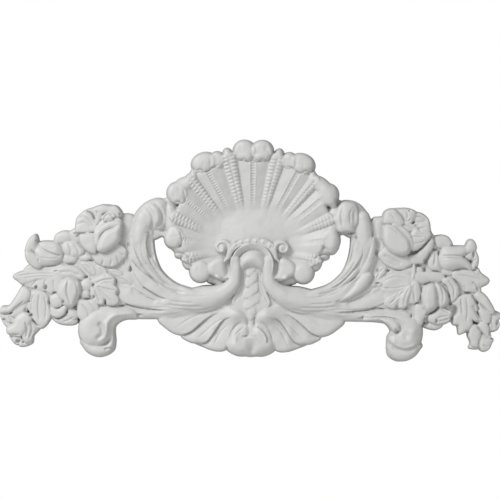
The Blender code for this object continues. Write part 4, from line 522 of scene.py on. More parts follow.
def shell_knobs(work):
    """The rolled tips on the rim: the double one at the top, and four to each side with lobes between."""
    for work.hand in (1, -1):
        work.lobe([(-20, 103), (-19, 112), (-14, 117), (-16, 108), (-13, 102)], 20, puff=3, fall=4)
        work.knob(-8.6, 111.3, 11.0, 10.2, 22.6, 17.5, turn=-12, fillet=7, **BROAD)
        work.knob(-4.0, 104.4, 4.6, 5.0, 20.6, 16, turn=10, fillet=2.5)
        work.knob(-13.5, 104.8, 4.8, 4.6, 20.4, 16, turn=-10, fillet=2.5)
        work.knob(-25.5, 107, 4.4, 6.0, 20.5, 16, turn=15, fillet=1.5)
        work.knob(-36.0, 101.5, 7.6, 8.2, 21.0, 16.5, turn=10, fillet=4, **BROAD)
        work.knob(-49.2, 98.8, 12.4, 9.8, 22.4, 16.5, turn=20, fillet=5, **BROAD)
        work.knob(-54.5, 92.6, 5.0, 3.6, 20.4, 16, turn=25, fillet=2)
        work.knob(-45.5, 92.4, 4.6, 3.4, 20.2, 16, turn=5, fillet=2)
        work.lobe([(-60, 92), (-62.5, 89), (-67, 84.5), (-73, 82), (-77, 77), (-70, 68), (-60, 74),
                   (-55, 86)], 20.5, puff=3.5, fall=6)
        work.knob(-75.4, 67.8, 10.3, 11.0, 21.8, 16.5, turn=15, fillet=4, **BROAD)
        work.knob(-70.4, 59.6, 4.0, 4.2, 20.0, 16, fillet=2)
        work.lobe([(-86, 57), (-79, 56), (-74.5, 48), (-73, 40), (-75, 30), (-86, 30), (-88, 44)], 18.5,
                  puff=4, fall=7)
        work.knob(-78.0, 23.5, 9.7, 11.0, 20.6, 15.5, turn=-15, fillet=4, **BROAD)
        work.lobe([(-82, 15), (-77.5, 9), (-76.5, 4.5), (-72.5, 3), (-68, 4.5), (-62, 8), (-66, 15),
                   (-73, 17)], 17, puff=3, fall=5)
        work.fold([(-78, 7), (-72, 7.8), (-66, 6), (-62, 3)], 2.5, 2.4)
        work.lobe([(-69, 1.5), (-68.5, -4), (-64, -8), (-56, -6), (-54, 2), (-62, 8)], 15.5, puff=2.5,
                  fall=5)
        work.knob(-51.6, -10, 10.6, 10.9, 19.6, 14.5, **BROAD)
        work.lobe([(-47, -4), (-45, -19), (-40, -22), (-24, -24), (-19, -10), (-28, 2)], 11)
    work.lobe([(-61, 86), (-69, 85), (-77, 78.5), (-83.5, 69), (-84.6, 61), (-81, 55), (-75, 58), (-69, 66),
               (-63, 76)], 22.8, puff=5, fall=9, fillet=5)
    work.lobe([(-79, 37), (-84, 33.5), (-87, 25), (-86, 15), (-81, 9), (-75.5, 12), (-72.5, 24), (-75, 34)],
              21.4, puff=5, fall=8, fillet=5)
    work.hand = 1
    work.cut([(-1.0, 124), (-0.8, 112), (-0.4, 102)], 1.4, 0.6, fade=20)


shell_knobs(work)
say("roll the tips of the shell")

# %% Crease the tips
def knob_creases(work):
    """The wavy turned-under edges of the rolled tips, and soft dents. The right rim stays smooth."""
    top = (((-19, 108), (-16.5, 102.5), (-13, 100.5), (-9.2, 102), (-6.5, 99.8), (-3, 99.5), (-0.6, 102.5)),
           ((-61, 93.5), (-57, 90), (-52.5, 91.2), (-48.5, 88.8), (-44, 90.4), (-40, 93.3), (-33, 96)))
    left_rim = (((-78.5, 58), (-73.5, 58.8), (-70.2, 56.8), (-67, 60), (-67.4, 66), (-69, 71)),
                ((-73.5, 13.5), (-70, 17), (-69.8, 24), (-72, 30)))
    for work.hand, creases in ((1, top + left_rim), (-1, top)):
        for crease in creases:
            work.fold(crease, 1.6, 1.5)
        for dent in ((-42.5, 98, 1.6, 4.5, -0.9), (-12.5, 113, 1.8, 3.5, -0.5), (-52, 103, 4.0, 1.6, -0.5),
                     (-50, 95, 1.2, 3.0, -0.5)):
            work.swell(*dent)
    work.hand = 1
    for dent in ((-74, 72, 1.6, 3.0, -0.5), (-78.5, 66, 1.4, 3.2, -0.5), (-79, 25, 3.5, 1.3, -0.5),
                 (-54, -8, 1.4, 3.4, -0.5)):
        work.swell(*dent)


knob_creases(work)
say("crease the tips")

# %% [markdown]
# ## The stem
# The stem comes down from the boss in two fillets, with scales like small leaves laid down its middle. The
# scales are one outline that is stretched and mirrored, so a short table of their places is enough.

# %% Carve the stem
# The height, half width and hand of each scale
SCALES = ((-49, 5, -1), (-44, 8, 1), (-38, 8, -1), (-33, 8, 1), (-27, 6.5, -1), (-22, 6.5, 1),
          (-16, 5.5, -1), (-11, 5.5, 1))


def stem(work):
    """The stem under the boss, edged by fillets and laid with leaf scales to left and right in turn."""
    work.lobe([(-14, -26), (14, -26), (32, -38), (26, -50), (3, -60), (2, -72), (-2, -72), (-3, -60),
               (-26, -50), (-32, -38)], 12)
    work.rib([(0, 4), (0, -12), (0, -28), (-0.5, -42), (-0.9, -58)], [10.5, 10.5, 14, 19, 0.8],
             [15, 14.5, 14.5, 15, 15], crown=0.5)
    work.rib([(-0.5, -50), (0, -60), (0.4, -71)], [3.4, 3.2, 3], [15.6, 15.2, 15.6], crown=2, fillet=3)
    for work.hand in (1, -1):
        work.cut([(-9.2, -8), (-9.2, -20), (-12, -32), (-17, -41)], 0.8, 1.0)
        work.cut([(-7.0, -8), (-7.0, -20), (-9, -30), (-12, -37)], 0.8, 1.0)
    for z, half, work.hand in SCALES:
        work.lobe([(-half, z + 6), (0.2 * half, z + 8), (0.8 * half, z + 4), (0.4 * half, z + 0.5),
                   (-0.3 * half, z - 3.5), (-half, z - 2.5)], 15.8, puff=1.2, fall=3, slope=(0.05, -0.16),
                  rounding=0.8)


stem(work)
say("carve the stem")

# %% [markdown]
# ## The scroll arms
# Each arm is a bundle of long leaves. A leaf is one rib: a line, its half width and its height at a few
# places along it. The leaves are the same to both sides, and the hand tells which side is worked.

# %% Carve both arms
def arm(work):
    """A scroll arm: long flat leaves that overlap, and flow out of one big roll beside the stem."""
    work.rib([(-28, -42), (-50, -47.5), (-75, -52), (-100, -52), (-125, -52), (-150, -54)],
             [4, 5, 5.5, 6, 6.5, 8], [14, 14, 14, 13.5, 14, 14], crown=2.2, tilt=-1.6, fillet=2)
    work.rib([(-60, -42), (-85, -45), (-108, -42), (-128, -36), (-146, -40)], [6, 8, 9, 9, 8],
             [16, 15.5, 15.5, 15, 13], crown=1.6, fillet=2)
    work.rib([(-70, -36), (-92, -34), (-112, -26), (-128, -18), (-138, -16)], [7, 9, 9, 8, 5],
             [17, 16.5, 16, 15, 14], crown=1.4, fillet=2)
    work.rib([(-92, -26), (-108, -12), (-117, 6), (-120, 24), (-118, 38)], [8, 9, 8, 6, 4],
             [17, 17, 16.5, 15.5, 14], crown=1.8, fillet=2)
    work.rib([(-60, -34), (-80, -30.5), (-96, -18), (-104, -2), (-107, 14), (-106, 30)],
             [6, 9, 9.5, 9, 8.5, 7], [17.5, 17.5, 17.5, 17.5, 17.5, 18], crown=2.4, power=2.6, fillet=2)
    work.rib([(-16.8, 2), (-16.6, -12), (-19.5, -23), (-33, -33.5), (-56, -39), (-78, -38), (-98, -30)],
             [5, 6, 8.8, 12.6, 11.3, 9.5, 5.5], [20.5, 20.5, 20.3, 19.8, 18.8, 17.6, 15.5],
             crown=[3, 3, 5, 6, 4.5, 3, 1.5], power=[3, 3, 2.6, 2, 2, 2, 2], fillet=1.5)
    work.fold([(-83, -38.5), (-92, -35.5), (-100, -31), (-108, -26), (-114, -20), (-119, -12)], 5,
              [1.0, 3.2, 3.4, 3.2, 2.4])
    work.fold([(-84, -49.4), (-100, -48), (-113, -46.5), (-123, -44), (-134, -39)], 4, [1, 3, 3.2, 3.2])
    work.fold([(-108, -54), (-122, -52), (-136, -51)], 3, 2.2)
    work.fold([(-94, -40), (-104, -36), (-112, -32), (-120, -27)], 5, 1.8)
    work.fold([(-121, 1), (-113, -8), (-104, -15), (-95, -21), (-85, -27), (-76, -31.5), (-68, -34.5)], 8,
              2.1)
    work.fold([(-104, 29), (-106, 20), (-105, 12), (-101, 1)], 7, 2.8)
    work.cut([(-122, 25), (-117, 20), (-113, 12), (-109, 4), (-103, -5), (-96.5, -12.5), (-88, -21),
              (-78, -27)], 0.8, 2.0)
    work.cut([(-119, 26), (-114.5, 18), (-111, 11), (-106.5, 3), (-101, -5)], 1.2, -0.9)
    work.cut([(-138, -22), (-128, -23.5), (-118, -25)], 0.9, 1.6)
    for ridge in (((-136, -14), (-127, -18), (-119, -22)), ((-129, 16), (-124, 6), (-119.5, -2)),
                  ((-105.5, 25), (-106.3, 15), (-103, 4)), ((-112, -9), (-100, -18.5), (-86, -27.5))):
        work.cut(ridge, 0.9, -0.9)
    for streak in (((-82, -39.5), (-72, -41), (-58, -41.5)), ((-86, -43), (-70, -45), (-48, -45)),
                   ((-112, -4), (-108, -10), (-98, -19)), ((-76, -48), (-55, -49.5), (-38, -46)),
                   ((-102, 22), (-101.5, 10), (-98, 0)), ((-90, -22), (-78, -29), (-66, -31.5))):
        work.cut(streak, 0.9, 0.9)


for work.hand in (1, -1):
    arm(work)
say("carve both arms")

# %% [markdown]
# ## Feet and curls
# Each arm stands on a scroll and ends above in a leaf that rolls over. The carver didn't mirror these: the
# left foot is a smooth disc and the right one has a leaf beside its neck. So each is drawn for itself,
# and only the strip that ties a curl to the shell is shared.

# %% Carve the right arm's leaf tips and foot
def right_leaf_tips(work):
    """Where the right arm's leaves overlap: two rounded tips, the lower one in front."""
    work.lobe([(-106, -2), (-109, 10), (-112, 20), (-119, 27.5), (-123, 24), (-124, 14), (-122, 4),
               (-117.5, -8), (-110, -14)], 18.5, puff=2.5, fall=6, slope=(-0.08, 0))
    work.lobe([(-86, -37), (-98, -27), (-106, -15), (-112, -9.5), (-118.5, -9), (-120.5, -13),
               (-117, -20.5), (-112, -26.5), (-100, -34.5), (-88, -39)], 19, puff=2.5, fall=6,
              slope=(-0.04, 0))


def right_foot(work):
    """The scroll that the right arm stands on, with a lobed leaf tip beside its neck."""
    work.lobe([(-128, -50), (-139, -66), (-136.5, -73), (-136, -82), (-137.5, -92), (-147, -97.5),
               (-158, -94.5), (-166, -88), (-170.5, -78), (-171, -64), (-160, -48), (-140, -44)], 12,
              puff=3, fall=7, rounding=2)
    work.rib([(-168.5, -82), (-160, -88.5), (-149, -90.3), (-142.5, -87.5), (-139.5, -84)],
             [3, 5, 6.8, 6.2, 3.5], [14, 15.5, 16, 15.5, 14.5], crown=3.5, fillet=2)
    work.lobe([(-118, -49), (-140, -47), (-158, -49), (-168, -56), (-171.3, -66), (-169.8, -77),
               (-163, -84.5), (-153, -87), (-144, -84), (-138.3, -79), (-137.3, -73.5), (-141, -70.5),
               (-147, -69), (-147, -63), (-138, -58.5), (-124, -57.5), (-112, -57)], 19, puff=4.5, fall=11,
              rounding=1.4, fillet=2)
    work.cut([(-140, -76), (-146, -81.5), (-155, -84), (-166, -80.5)], 1.8, -1.6)
    work.swell(-155, -71.5, 3.2, 4.4, -1.8)
    work.swell(-161, -68, 4.5, 3.5, 1.2)
    work.lobe([(-128, -55), (-136, -61), (-141, -66.5), (-143.5, -68.3), (-145.8, -67), (-148.4, -66.3),
               (-149.3, -62), (-147, -57), (-140, -53.5)], 19.5, puff=3, fall=5, slope=(0, -0.10), fillet=1)
    work.fold([(-104, -55), (-118, -53.5), (-132, -52.8), (-144, -55), (-149, -60)], 3,
              [0, 1.5, 1.5, 1.5, 0.5])
    work.cut([(-144.6, -68.5), (-144.2, -64.5)], 0.8, 1.8, fade=20)
    work.cut([(-110, -54), (-124, -51), (-138, -50), (-154, -49)], 1.2, 1.4)


right_leaf_tips(work)
right_foot(work)
say("carve the right arm's leaf tips and foot")

# %% Carve the right curl
def web(work, foot):
    """The plain strip behind a curl that ties it to the shell, down to the height where its gap begins."""
    work.lobe([(-107, foot - 3), (-97, foot - 2), (-91, foot + 0.8), (-86, foot), (-80, foot + 9),
               (-74, 50), (-82, 62), (-88, 62), (-98, 55), (-106, foot + 8)], 14, puff=1, slope=(-0.05, 0))


def right_curl(work):
    """The leaf end that rolls over at the top of the right arm: a tongue with an oval roll."""
    web(work, 28.5)
    work.lobe([(-121, 18), (-120.5, 34), (-119, 42), (-115, 50), (-108, 58), (-100, 62), (-90, 62),
               (-85, 57), (-82, 48), (-83.5, 38), (-90, 31), (-97, 29.5), (-104, 24), (-104, 14)], 18,
              puff=6, fall=9, rounding=1.6, fillet=2)
    work.rib([(-107, 4), (-112, 20), (-112, 34), (-110.5, 46)], [7, 7.5, 7.2, 6], [17, 18.5, 20, 20],
             crown=3, fillet=3)
    work.lobe([(-103.5, 58), (-96, 61), (-89.5, 60.5), (-85.5, 56), (-82, 47), (-80.6, 43.2), (-83.6, 38.5),
               (-85.5, 32), (-91, 30.2), (-100.8, 31), (-102.3, 36), (-105, 40), (-105.6, 48)], 22.6,
              puff=2.6, fall=6, slope=(0.03, 0), rounding=1.0)
    work.swell(-94, 48, 3.4, 9, 0.9)
    work.swell(-101.5, 46, 2.0, 9, -1.4)
    work.swell(-89.8, 46, 1.4, 8, -0.8)
    work.pits((
        (-96.5, 30.3, 5.0, 1.3, 4), (-85.3, 61.3, 2.6, 3.4, 5), (-119.6, 42, 1.0, 3.2, 4.5),
        (-120.2, 32, 0.8, 6.0, 2)))


right_curl(work)
say("carve the right curl")

# %% Carve the left foot and curl
def left_foot(work):
    """The scroll that the left arm stands on: a big smooth disc with a leaf rolled under it."""
    work.lobe([(-128, -50), (-136, -66), (-135.5, -82), (-138, -91), (-149, -96), (-163, -89.5),
               (-171.5, -79), (-172, -65), (-160, -48), (-140, -44)], 12, puff=3, fall=7, rounding=2)
    work.rib([(-168, -82), (-160, -88.5), (-150, -90.5), (-142, -87), (-138.8, -79), (-139, -72)],
             [3, 5, 6, 5, 3.2, 2], [14, 16, 16.5, 16, 15.5, 15], crown=3.5, fillet=2)
    work.lobe([(-118, -49), (-135, -46.5), (-150, -46), (-164, -51), (-171.5, -62), (-171.8, -74),
               (-167, -82.7), (-159, -85.7), (-150, -85), (-142.5, -80.5), (-137.5, -74), (-136.2, -66),
               (-131, -61), (-124, -58.5), (-114, -57.5)], 19, puff=4.5, fall=11, slope=(-0.02, 0),
              rounding=1.4, fillet=2)
    work.cut([(-153, -62), (-149, -67), (-149, -74), (-155, -79)], 2.4, 2.2)
    work.cut([(-112, -53.5), (-126, -53), (-137, -55.5), (-143.5, -62), (-144.5, -71), (-147, -78),
              (-155, -83)], 2.4, [0, -1.2, -1.4, -1.6, -3, -2, 0])
    work.fold([(-137, -88.2), (-142, -87), (-147, -88.6)], 2.0, 1.8)


def left_curl(work):
    """The leaf end that rolls over at the top of the left arm: a broad bend with two soft hollows."""
    web(work, 24)
    work.lobe([(-121, 14), (-119, 34), (-118.3, 44), (-114, 51.5), (-106, 58.5), (-96, 62.3), (-88, 60.5),
               (-85, 55), (-84, 46), (-85, 37), (-92, 31), (-97, 31), (-101, 29.5), (-106, 24), (-106, 14)],
              21, puff=6.5, fall=12, slope=(0.03, 0), rounding=1.6, fillet=2)
    work.rib([(-109, 2), (-112, 18), (-111, 34), (-109.5, 44)], [7, 7.5, 7.5, 6], [17, 18.5, 20, 20],
             crown=3, fillet=3)
    work.cut([(-98.5, 58), (-92.5, 52.5), (-89.6, 45), (-90.5, 38), (-96, 33.5)], 1.5, 1.7)
    work.cut([(-107, 55.5), (-101.5, 48.5), (-99.4, 42), (-100.2, 34), (-102, 28.5)], 1.9, 1.8)
    work.cut([(-103, 57), (-96.8, 50.5), (-94.6, 43), (-96.2, 36)], 1.9, -0.9)
    work.pits(((-89.5, 30.3, 2.6, 1.2, 2), (-104, 28.3, 2.0, 0.9, 1)))


work.hand = 1
left_foot(work)
left_curl(work)
say("carve the left foot and curl")

# %% [markdown]
# ## Veins
# Fine veins run with the flow of each long leaf. They are a millimetre or two wide, too fine for the
# solid, and they lead the eye along the arms. They are cut last, over the folds, as a carver cuts them.

# %% Cut the veins
def arm_veins(work):
    """Fine lines that run with the flow of the arms and of the fan's leaves."""
    for work.hand in (1, -1):
        for depth, vein in ((1.0, ((-133, -15), (-123, -24), (-112, -31.5), (-98, -37), (-84, -41))),
                            (0.8, ((-110, 22), (-110.5, 10), (-106.5, -2), (-98, -12.5), (-88, -20.5))),
                            (0.9, ((-128, -43), (-112, -46), (-96, -46.8), (-80, -46))),
                            (0.8, ((-140, -47), (-124, -48.6), (-106, -50.4), (-88, -51.6))),
                            (0.8, ((-40, -33.5), (-58, -35), (-76, -33), (-90, -27), (-99, -17))),
                            (0.7, ((-30, -46.5), (-48, -51.5), (-64, -59), (-75, -67))),
                            (0.7, ((-24, -55), (-36, -61.5), (-46, -70.5), (-54, -78))),
                            (0.7, ((-22, -62), (-30, -70), (-35, -79), (-38, -86)))):
            work.cut(vein, 0.7, depth, fade=4)
        work.fold([(-120.6, 22), (-115.3, 5), (-106.6, -10.5), (-95, -22.5), (-81, -31)], 4, 1.6, fade=4)
        work.fold([(-104, 28), (-105.6, 17), (-102.9, 1), (-94, -13), (-80, -23.5)], 3.5, 1.5, fade=4)
        work.cut([(-99.6, 26), (-100.6, 13.5), (-97.4, 0), (-89.5, -11)], 1.3, 1.3, fade=4)
        work.cut([(-9.5, -59.5), (-15.8, -64.5), (-20, -71.8), (-22.2, -81.5)], 0.9, 1.3, fade=4)
        work.cut([(-15.4, -81), (-15.0, -75), (-11.4, -69.5)], 1.0, -1.2, fade=4)
    work.hand = 1
    work.cut([(-9.4, -76.7), (-5.6, -74.4), (0, -72.9), (5.4, -74.2), (8.4, -76.6)], 0.8, 1.5, fade=4)
    work.swell(1.8, -89, 2.4, 5.5, -1.5)


arm_veins(work)
say("cut the veins")

# %% [markdown]
# ## The arch and its lace
# The arch frames the boss: a cove falls towards it, and a lace band runs round the outside. The lace is a
# row of lozenges with small pits between them.

# %% Carve the arch
# The middle line of the lace band over the boss
LACE_LINE = ((-24, 4), (-19.8, 14.2), (-11, 19.8), (0, 21), (11, 19.8), (19.8, 14.2), (24, 4))


def arch(work):
    """The arch over the boss: a lace band, a cove, corner leaves and a volute at each end."""
    for work.hand in (1, -1):
        work.lobe([(-44, -4), (-38, 2), (-31, 4.5), (-27, 2), (-26, -5), (-23.5, -17), (-26, -19.3),
                   (-31, -18.6), (-36, -16), (-43, -12)], 19, puff=3, fall=5, slope=(-0.12, 0.02))
        work.rib([(-27.5, 0), (-23.2, 6), (-22.2, 13.5), (-25.5, 19), (-31.5, 19.8), (-35.3, 15.5),
                  (-33.5, 11), (-29.5, 10.8), (-29, 14)], [1.4, 1.9, 2.3, 2.4, 2.2, 2.0, 1.8, 1.7, 1.7],
                 [17.5, 19, 19.2, 19.2, 18.6, 18.2, 18.2, 18.6, 19], crown=1.3)
        work.knob(-30, 14, 5.5, 5.5, 18, 13)
    work.hand = 1
    work.rib(LACE_LINE, [2, 3.6, 3.9, 3.9, 3.9, 3.6, 2], [19, 20, 20, 20, 20, 20, 19], crown=0.8)
    work.rib([(-17.4, -10), (-17.6, -1), (-14.5, 8), (-8, 13.4), (0.3, 15.2), (8.6, 13.2), (15.2, 8),
              (18.4, -1), (17.6, -10)], 3.1, [18.5, 19, 19, 19, 19, 19, 19, 19, 18.5], crown=0.5, tilt=2.4,
             rounding=0.8)
    work.lobe([(-14.5, -1), (-12, 5.5), (-8, 9.5), (-2, 12.3), (4, 12.3), (10, 9.5), (14, 4), (15.5, -2),
               (12, -9), (6, -6.5), (0, -5.5), (-6, -6.5), (-11, -9)], 22.5, puff=7.5, fall=10,
              rounding=0.8)


arch(work)
say("carve the arch")

# %% Cut the lace
# How many lozenges there are, the band's half width, the place of its rims, and the height of each part
LACE_REPEATS = 9
LACE_HALF = 4
LACE_RIM = 3.3
LOZENGE_RISE = 1.2
RIM_RIDGE = 0.5
LACE_PIT = 0.9
LACE_GROUND = 0.5


def lace(work):
    """The pattern of the lace band: little lozenges in a row, with a pit between each two of them."""
    path = curve(LACE_LINE)
    window = work.window(path, 5)
    share, side = nearest(path, work.x[window], work.z[window])
    turns = share * LACE_REPEATS * np.pi
    lozenge = np.clip(1 - np.abs(np.sin(turns)) * 1.15 - np.abs(side) / 3.4, 0, 1)
    rims = np.exp(-((np.abs(side) - LACE_RIM) / 0.5)**2)
    held = (np.abs(side) < LACE_HALF) * np.clip(12 * np.minimum(share, 1 - share) - 1.2, 0, 1)
    pits = np.exp(-(np.sin(turns + np.pi / 2) / 0.3)**2 - ((side - 1.6) / 1.0)**2)
    sunk = LACE_PIT * pits
    work.height[window] += held * (LOZENGE_RISE * lozenge + RIM_RIDGE * rims - sunk
                                   - LACE_GROUND * (np.abs(side) < 3))


lace(work)
say("cut the lace")

# %% [markdown]
# ## The flowers
# Each bouquet has a rose, a smaller flower, a tulip, a bud, leaves and bell flowers. Petals are outlines
# that are puffed up and tipped, so that one edge stands over its neighbour. Rows of numbers suit them: a
# petal is a line in a table, and a petal that looks wrong is one line to change.

# %% Petals and veins from rows of outlines
PETAL_FALL = 5.5


def forms(work, rows):
    """Petals or leaves laid one over the other: the top, puff, slope and outline of each."""
    for top, puff, slope, outline in rows:
        work.lobe(outline, top, puff=puff, fall=PETAL_FALL, slope=slope, rounding=0.8)


def lines(work, rows):
    """Veins, folds and seams: the half width, depth and course of each."""
    for half, depth, line in rows:
        work.cut(line, half, depth)


print("A petal is puffed up over", PETAL_FALL, "units from its edge")

# %% [markdown]
# ## The left bouquet
# The bouquets are laid from the outside in, as a real bunch is, and the rose comes last because it
# lies on top. First comes a plain plate that ties the flowers together. In the casting it is the
# ground that shows between them, and it keeps thin petals from breaking off.

# %% Lay the left plate
def plate_left(work):
    """The ground under the left bouquet, and the strip beside its rose."""
    work.lobe([(-104, -10), (-116, 30), (-119, 44), (-132, 44), (-150, 52), (-172, 42), (-178, 30),
               (-196, 18), (-205, 0), (-224, -8), (-228, -20), (-224, -40), (-214, -60), (-200, -58),
               (-172, -58), (-150, -48), (-118, -40)], 13.2, puff=0)
    work.lobe([(-131, 45), (-118.5, 44.5), (-116.5, 30), (-119, 18), (-122.5, 8), (-128, 12), (-132, 20),
               (-131, 30)], 14.5, slope=(-0.08, 0))


work.hand = 1
plate_left(work)
say("lay the left plate")

# %% Carve the left bell flowers
def bells_left(work):
    """The two bell flowers that hang at the end, with a leaf beside them."""
    forms(work, (
        (13.0, 1.2, (0, 0), [(-230, -80), (-221.5, -79.5), (-218.7, -83), (-225, -86.7), (-232, -86.7)]),
        (13.5, 1.2, (0, 0), [(-241, -76), (-231, -77), (-229.5, -82), (-234.5, -85.5), (-239.5, -81)]),
        (14.5, 1.2, (0, 0), [(-250.6, -55), (-240, -54.5), (-233.5, -58), (-233, -64), (-240, -68.3),
            (-245.5, -67), (-249.5, -61)]),
        (15.8, 1.5, (-0.16, 0.05), [(-223, -58), (-216, -64), (-211.7, -68.3), (-218, -76),
            (-219, -81.5), (-226, -83.5), (-229, -76), (-226, -66)]),
        (17.5, 1.8, (0.06, -0.02), [(-235, -57), (-226, -53), (-219, -58), (-223, -67), (-228.5, -76),
            (-236, -76.5), (-243.5, -74.5), (-244.3, -69), (-238, -65)]),
        (16.5, 1.2, (-0.12, 0.06), [(-240.5, -54), (-231, -46), (-224, -40), (-224, -51), (-231, -57),
            (-238, -58.3)]),
        (18.0, 1.8, (0.06, -0.06), [(-229, -27.3), (-236, -38), (-242.5, -46.8), (-249.5, -48),
            (-251, -54), (-240.5, -53.5), (-231, -46.5), (-223, -40.5), (-221, -32)]),
        (16.0, 1.0, (0.02, 0.02), [(-224.5, -41), (-222, -33), (-213, -31.2), (-204, -35), (-202.5, -44),
            (-200.3, -55), (-203, -61.8), (-206, -66), (-210.5, -68.7), (-215, -64), (-219, -58.5),
            (-222, -52), (-224.5, -47)])))
    lines(work, (
        (0.75, 1.6, [(-227, -41.5), (-236, -49), (-241, -53.8), (-249.5, -54.3)]),
        (1.0, 1.2, [(-236, -36), (-240, -43), (-246, -49)]),
        (0.95, 1.4, [(-226, -62), (-224, -70), (-225, -79)]),
        (0.95, 1.4, [(-220, -64), (-219, -71), (-222, -79)]),
        (0.85, 1.2, [(-212, -34), (-213, -48), (-211.5, -62)]),
        (0.75, 1.0, [(-207, -36), (-205, -48), (-206, -60)]),
        (0.75, 0.8, [(-218, -35), (-220, -44), (-219, -52)]),
        (0.7, 1.6, [(-217.5, -61.5), (-214, -65), (-210.5, -67.5)]),
        (0.75, 1.6, [(-248, -60), (-244, -63.5), (-237, -64.5)]),
        (0.7, 1.2, [(-243, -57), (-240, -61), (-241, -66)])))
    work.pits((
        (-233, -82, 1.9, 1.6, 5), (-227.7, -83, 1.3, 1.1, 3), (-240, -54, 1.6, 0.9, 3),
        (-247.3, -60.4, 1.5, 0.9, 3), (-235.5, -75.3, 4.2, 0.9, 2), (-220.2, -56, 1.6, 1.4, 4.5),
        (-222.2, -42, 1.3, 0.9, 2), (-225.8, -51, 1.2, 2.0, 2), (-236, -84.3, 1.3, 0.8, 2),
        (-240, -78, 1.2, 1.2, 3), (-202.5, -43, 1.2, 2.6, 2)))


bells_left(work)
say("carve the left bell flowers")

# %% [markdown]
# The leaves overlap like feathers, so the lowest is laid first. Each is tipped a little, and the
# edge that stands up throws the thin shadow that parts it from the next.

# %% Carve the left leaves
def leaves_left(work):
    """The long leaves that point outwards under the tulip."""
    forms(work, (
        (15.0, 0.9, (0, 0.02), [(-228, -13), (-226, -8), (-221, -6), (-213, -9), (-205, -7), (-200, -10),
            (-205, -15), (-218, -15)]),
        (15.5, 0.9, (0, 0.03), [(-205, -8), (-196, -6), (-190, -4.5), (-184, -8), (-190, -14),
            (-200, -14)]),
        (15.5, 0.9, (0.02, 0), [(-229, -25), (-225, -18), (-214, -15), (-208, -19), (-211, -26),
            (-216, -29), (-222, -28.5)]),
        (16.0, 0.9, (0.02, 0), [(-216.5, -28), (-214, -19), (-205, -15), (-198, -18), (-200, -27),
            (-206, -31.5), (-211, -31.5)]),
        (16.5, 0.9, (0.02, 0), [(-206, -29), (-205, -18), (-196, -13), (-189, -17), (-191, -28),
            (-197, -34.5), (-202, -34)]),
        (16.8, 0.9, (0.01, 0.02), [(-238.8, -17), (-230, -12.6), (-220, -11.5), (-205, -12), (-195, -13),
            (-200, -18), (-215, -20.5), (-224, -24), (-229.5, -25), (-233.5, -22)]),
        (17.0, 1.5, (0, 0.10), [(-200, -10), (-190, -7), (-182, -5.6), (-174, -8), (-168, -13),
            (-165.6, -18), (-170, -20.5), (-180, -18.5), (-190, -19), (-198, -15)])))
    lines(work, (
        (0.75, 1.0, [(-236, -17), (-215, -14.3), (-196, -14)]),
        (0.7, 0.7, [(-228, -19), (-212, -16.8), (-200, -17)]),
        (0.75, 0.9, [(-220, -27), (-214, -20)]),
        (0.75, 0.9, [(-208, -30), (-206, -20)]),
        (0.75, 0.9, [(-197, -32), (-198, -20)]),
        (1.3, 1.0, [(-194, -13), (-182, -12), (-171, -16)])))
    work.pits((
        (-215.5, -27.8, 1.2, 1.6, 4.5), (-205.7, -28, 1.4, 2.4, 4.5), (-197, -33.5, 2.2, 1.4, 4.5),
        (-165.8, -17.3, 1.9, 1.5, 4.5), (-195.5, -11.5, 2.5, 0.9, 2)))


leaves_left(work)
say("carve the left leaves")

# %% [markdown]
# The tulip points outwards. Its cup is one tall lobe with a long fall, so it is round all over, and two
# petals lean out at its mouth. The blossom between it and the rose is a few low petals.

# %% Carve the left blossom and tulip
def blossom_left(work):
    """The small flower between the rose and the tulip."""
    forms(work, (
        (15.5, 1.5, (0, 0.03), [(-198, 18.5), (-197, 24), (-192, 27.5), (-186, 28.5), (-181, 26),
            (-181, 20), (-187, 17), (-193, 16)]),
        (15.0, 1.2, (0, 0), [(-187, 27), (-182, 28.5), (-178, 31), (-174, 31.5), (-171, 25), (-171, 18),
            (-178, 17), (-184, 21)]),
        (17.0, 2.2, (0, 0), [(-190, 13), (-187, 17.5), (-178, 18.5), (-172, 14), (-167, 9), (-171, 4),
            (-180, 2.5), (-188, 6)]),
        (15.8, 1.5, (0, -0.02), [(-190.5, 1), (-187, 6), (-178, 4), (-171, 4.5), (-165, 6.5), (-160, 3),
            (-165, -1), (-174, -0.5), (-178, -3), (-184, -4), (-189, -2)])))
    lines(work, (
        (1.4, 1.1, [(-184, 17), (-181, 10), (-182, 3)]),
        (1.1, 0.8, [(-178, 16), (-174, 10), (-173, 5)])))
    work.pits(((-180.5, -4.3, 4.2, 1.0, 2), (-173.8, 0.8, 2.0, 1.2, 2), (-160.5, -0.5, 3.0, 0.9, 3)))


def tulip_left(work):
    """A tulip that points outwards: a cup of petals, two of them turned out at its mouth."""
    work.lobe([(-188.5, 4), (-190.5, 12), (-197, 17.4), (-211, 17.6), (-218, 12), (-220, 4), (-218, -3),
               (-212, -6), (-201, -6), (-192, -2)], 20, puff=4, fall=9, rounding=1.0)
    forms(work, (
        (19.5, 1.5, (-0.14, 0), [(-217, 24.6), (-223, 20), (-226, 13), (-226.5, 7), (-219, 6.5),
            (-214.5, 10.5), (-214.7, 20)]),
        (19.5, 1.5, (-0.10, 0.08), [(-226, 7), (-225.5, 0), (-220.5, -6), (-213.5, -9.3), (-209.5, -5),
            (-212, 2), (-217, 6)])))
    work.fold([(-190, 4.6), (-196, 5.6), (-203, 8), (-211, 12.6), (-214.8, 18.6)], 3.5, 1.7)
    lines(work, (
        (0.7, 1.3, [(-221, 10), (-216.5, 5.5), (-213, 2), (-213.5, -3)]),
        (0.7, 0.9, [(-212, 14.5), (-205, 12), (-196, 10.5)]),
        (0.7, 0.8, [(-211, 2.5), (-203, 1), (-193, 1.5)])))
    work.pits(((-214.5, 18.5, 1.6, 1.6, 4), (-202.5, -6, 1.8, 0.8, 1.5)))


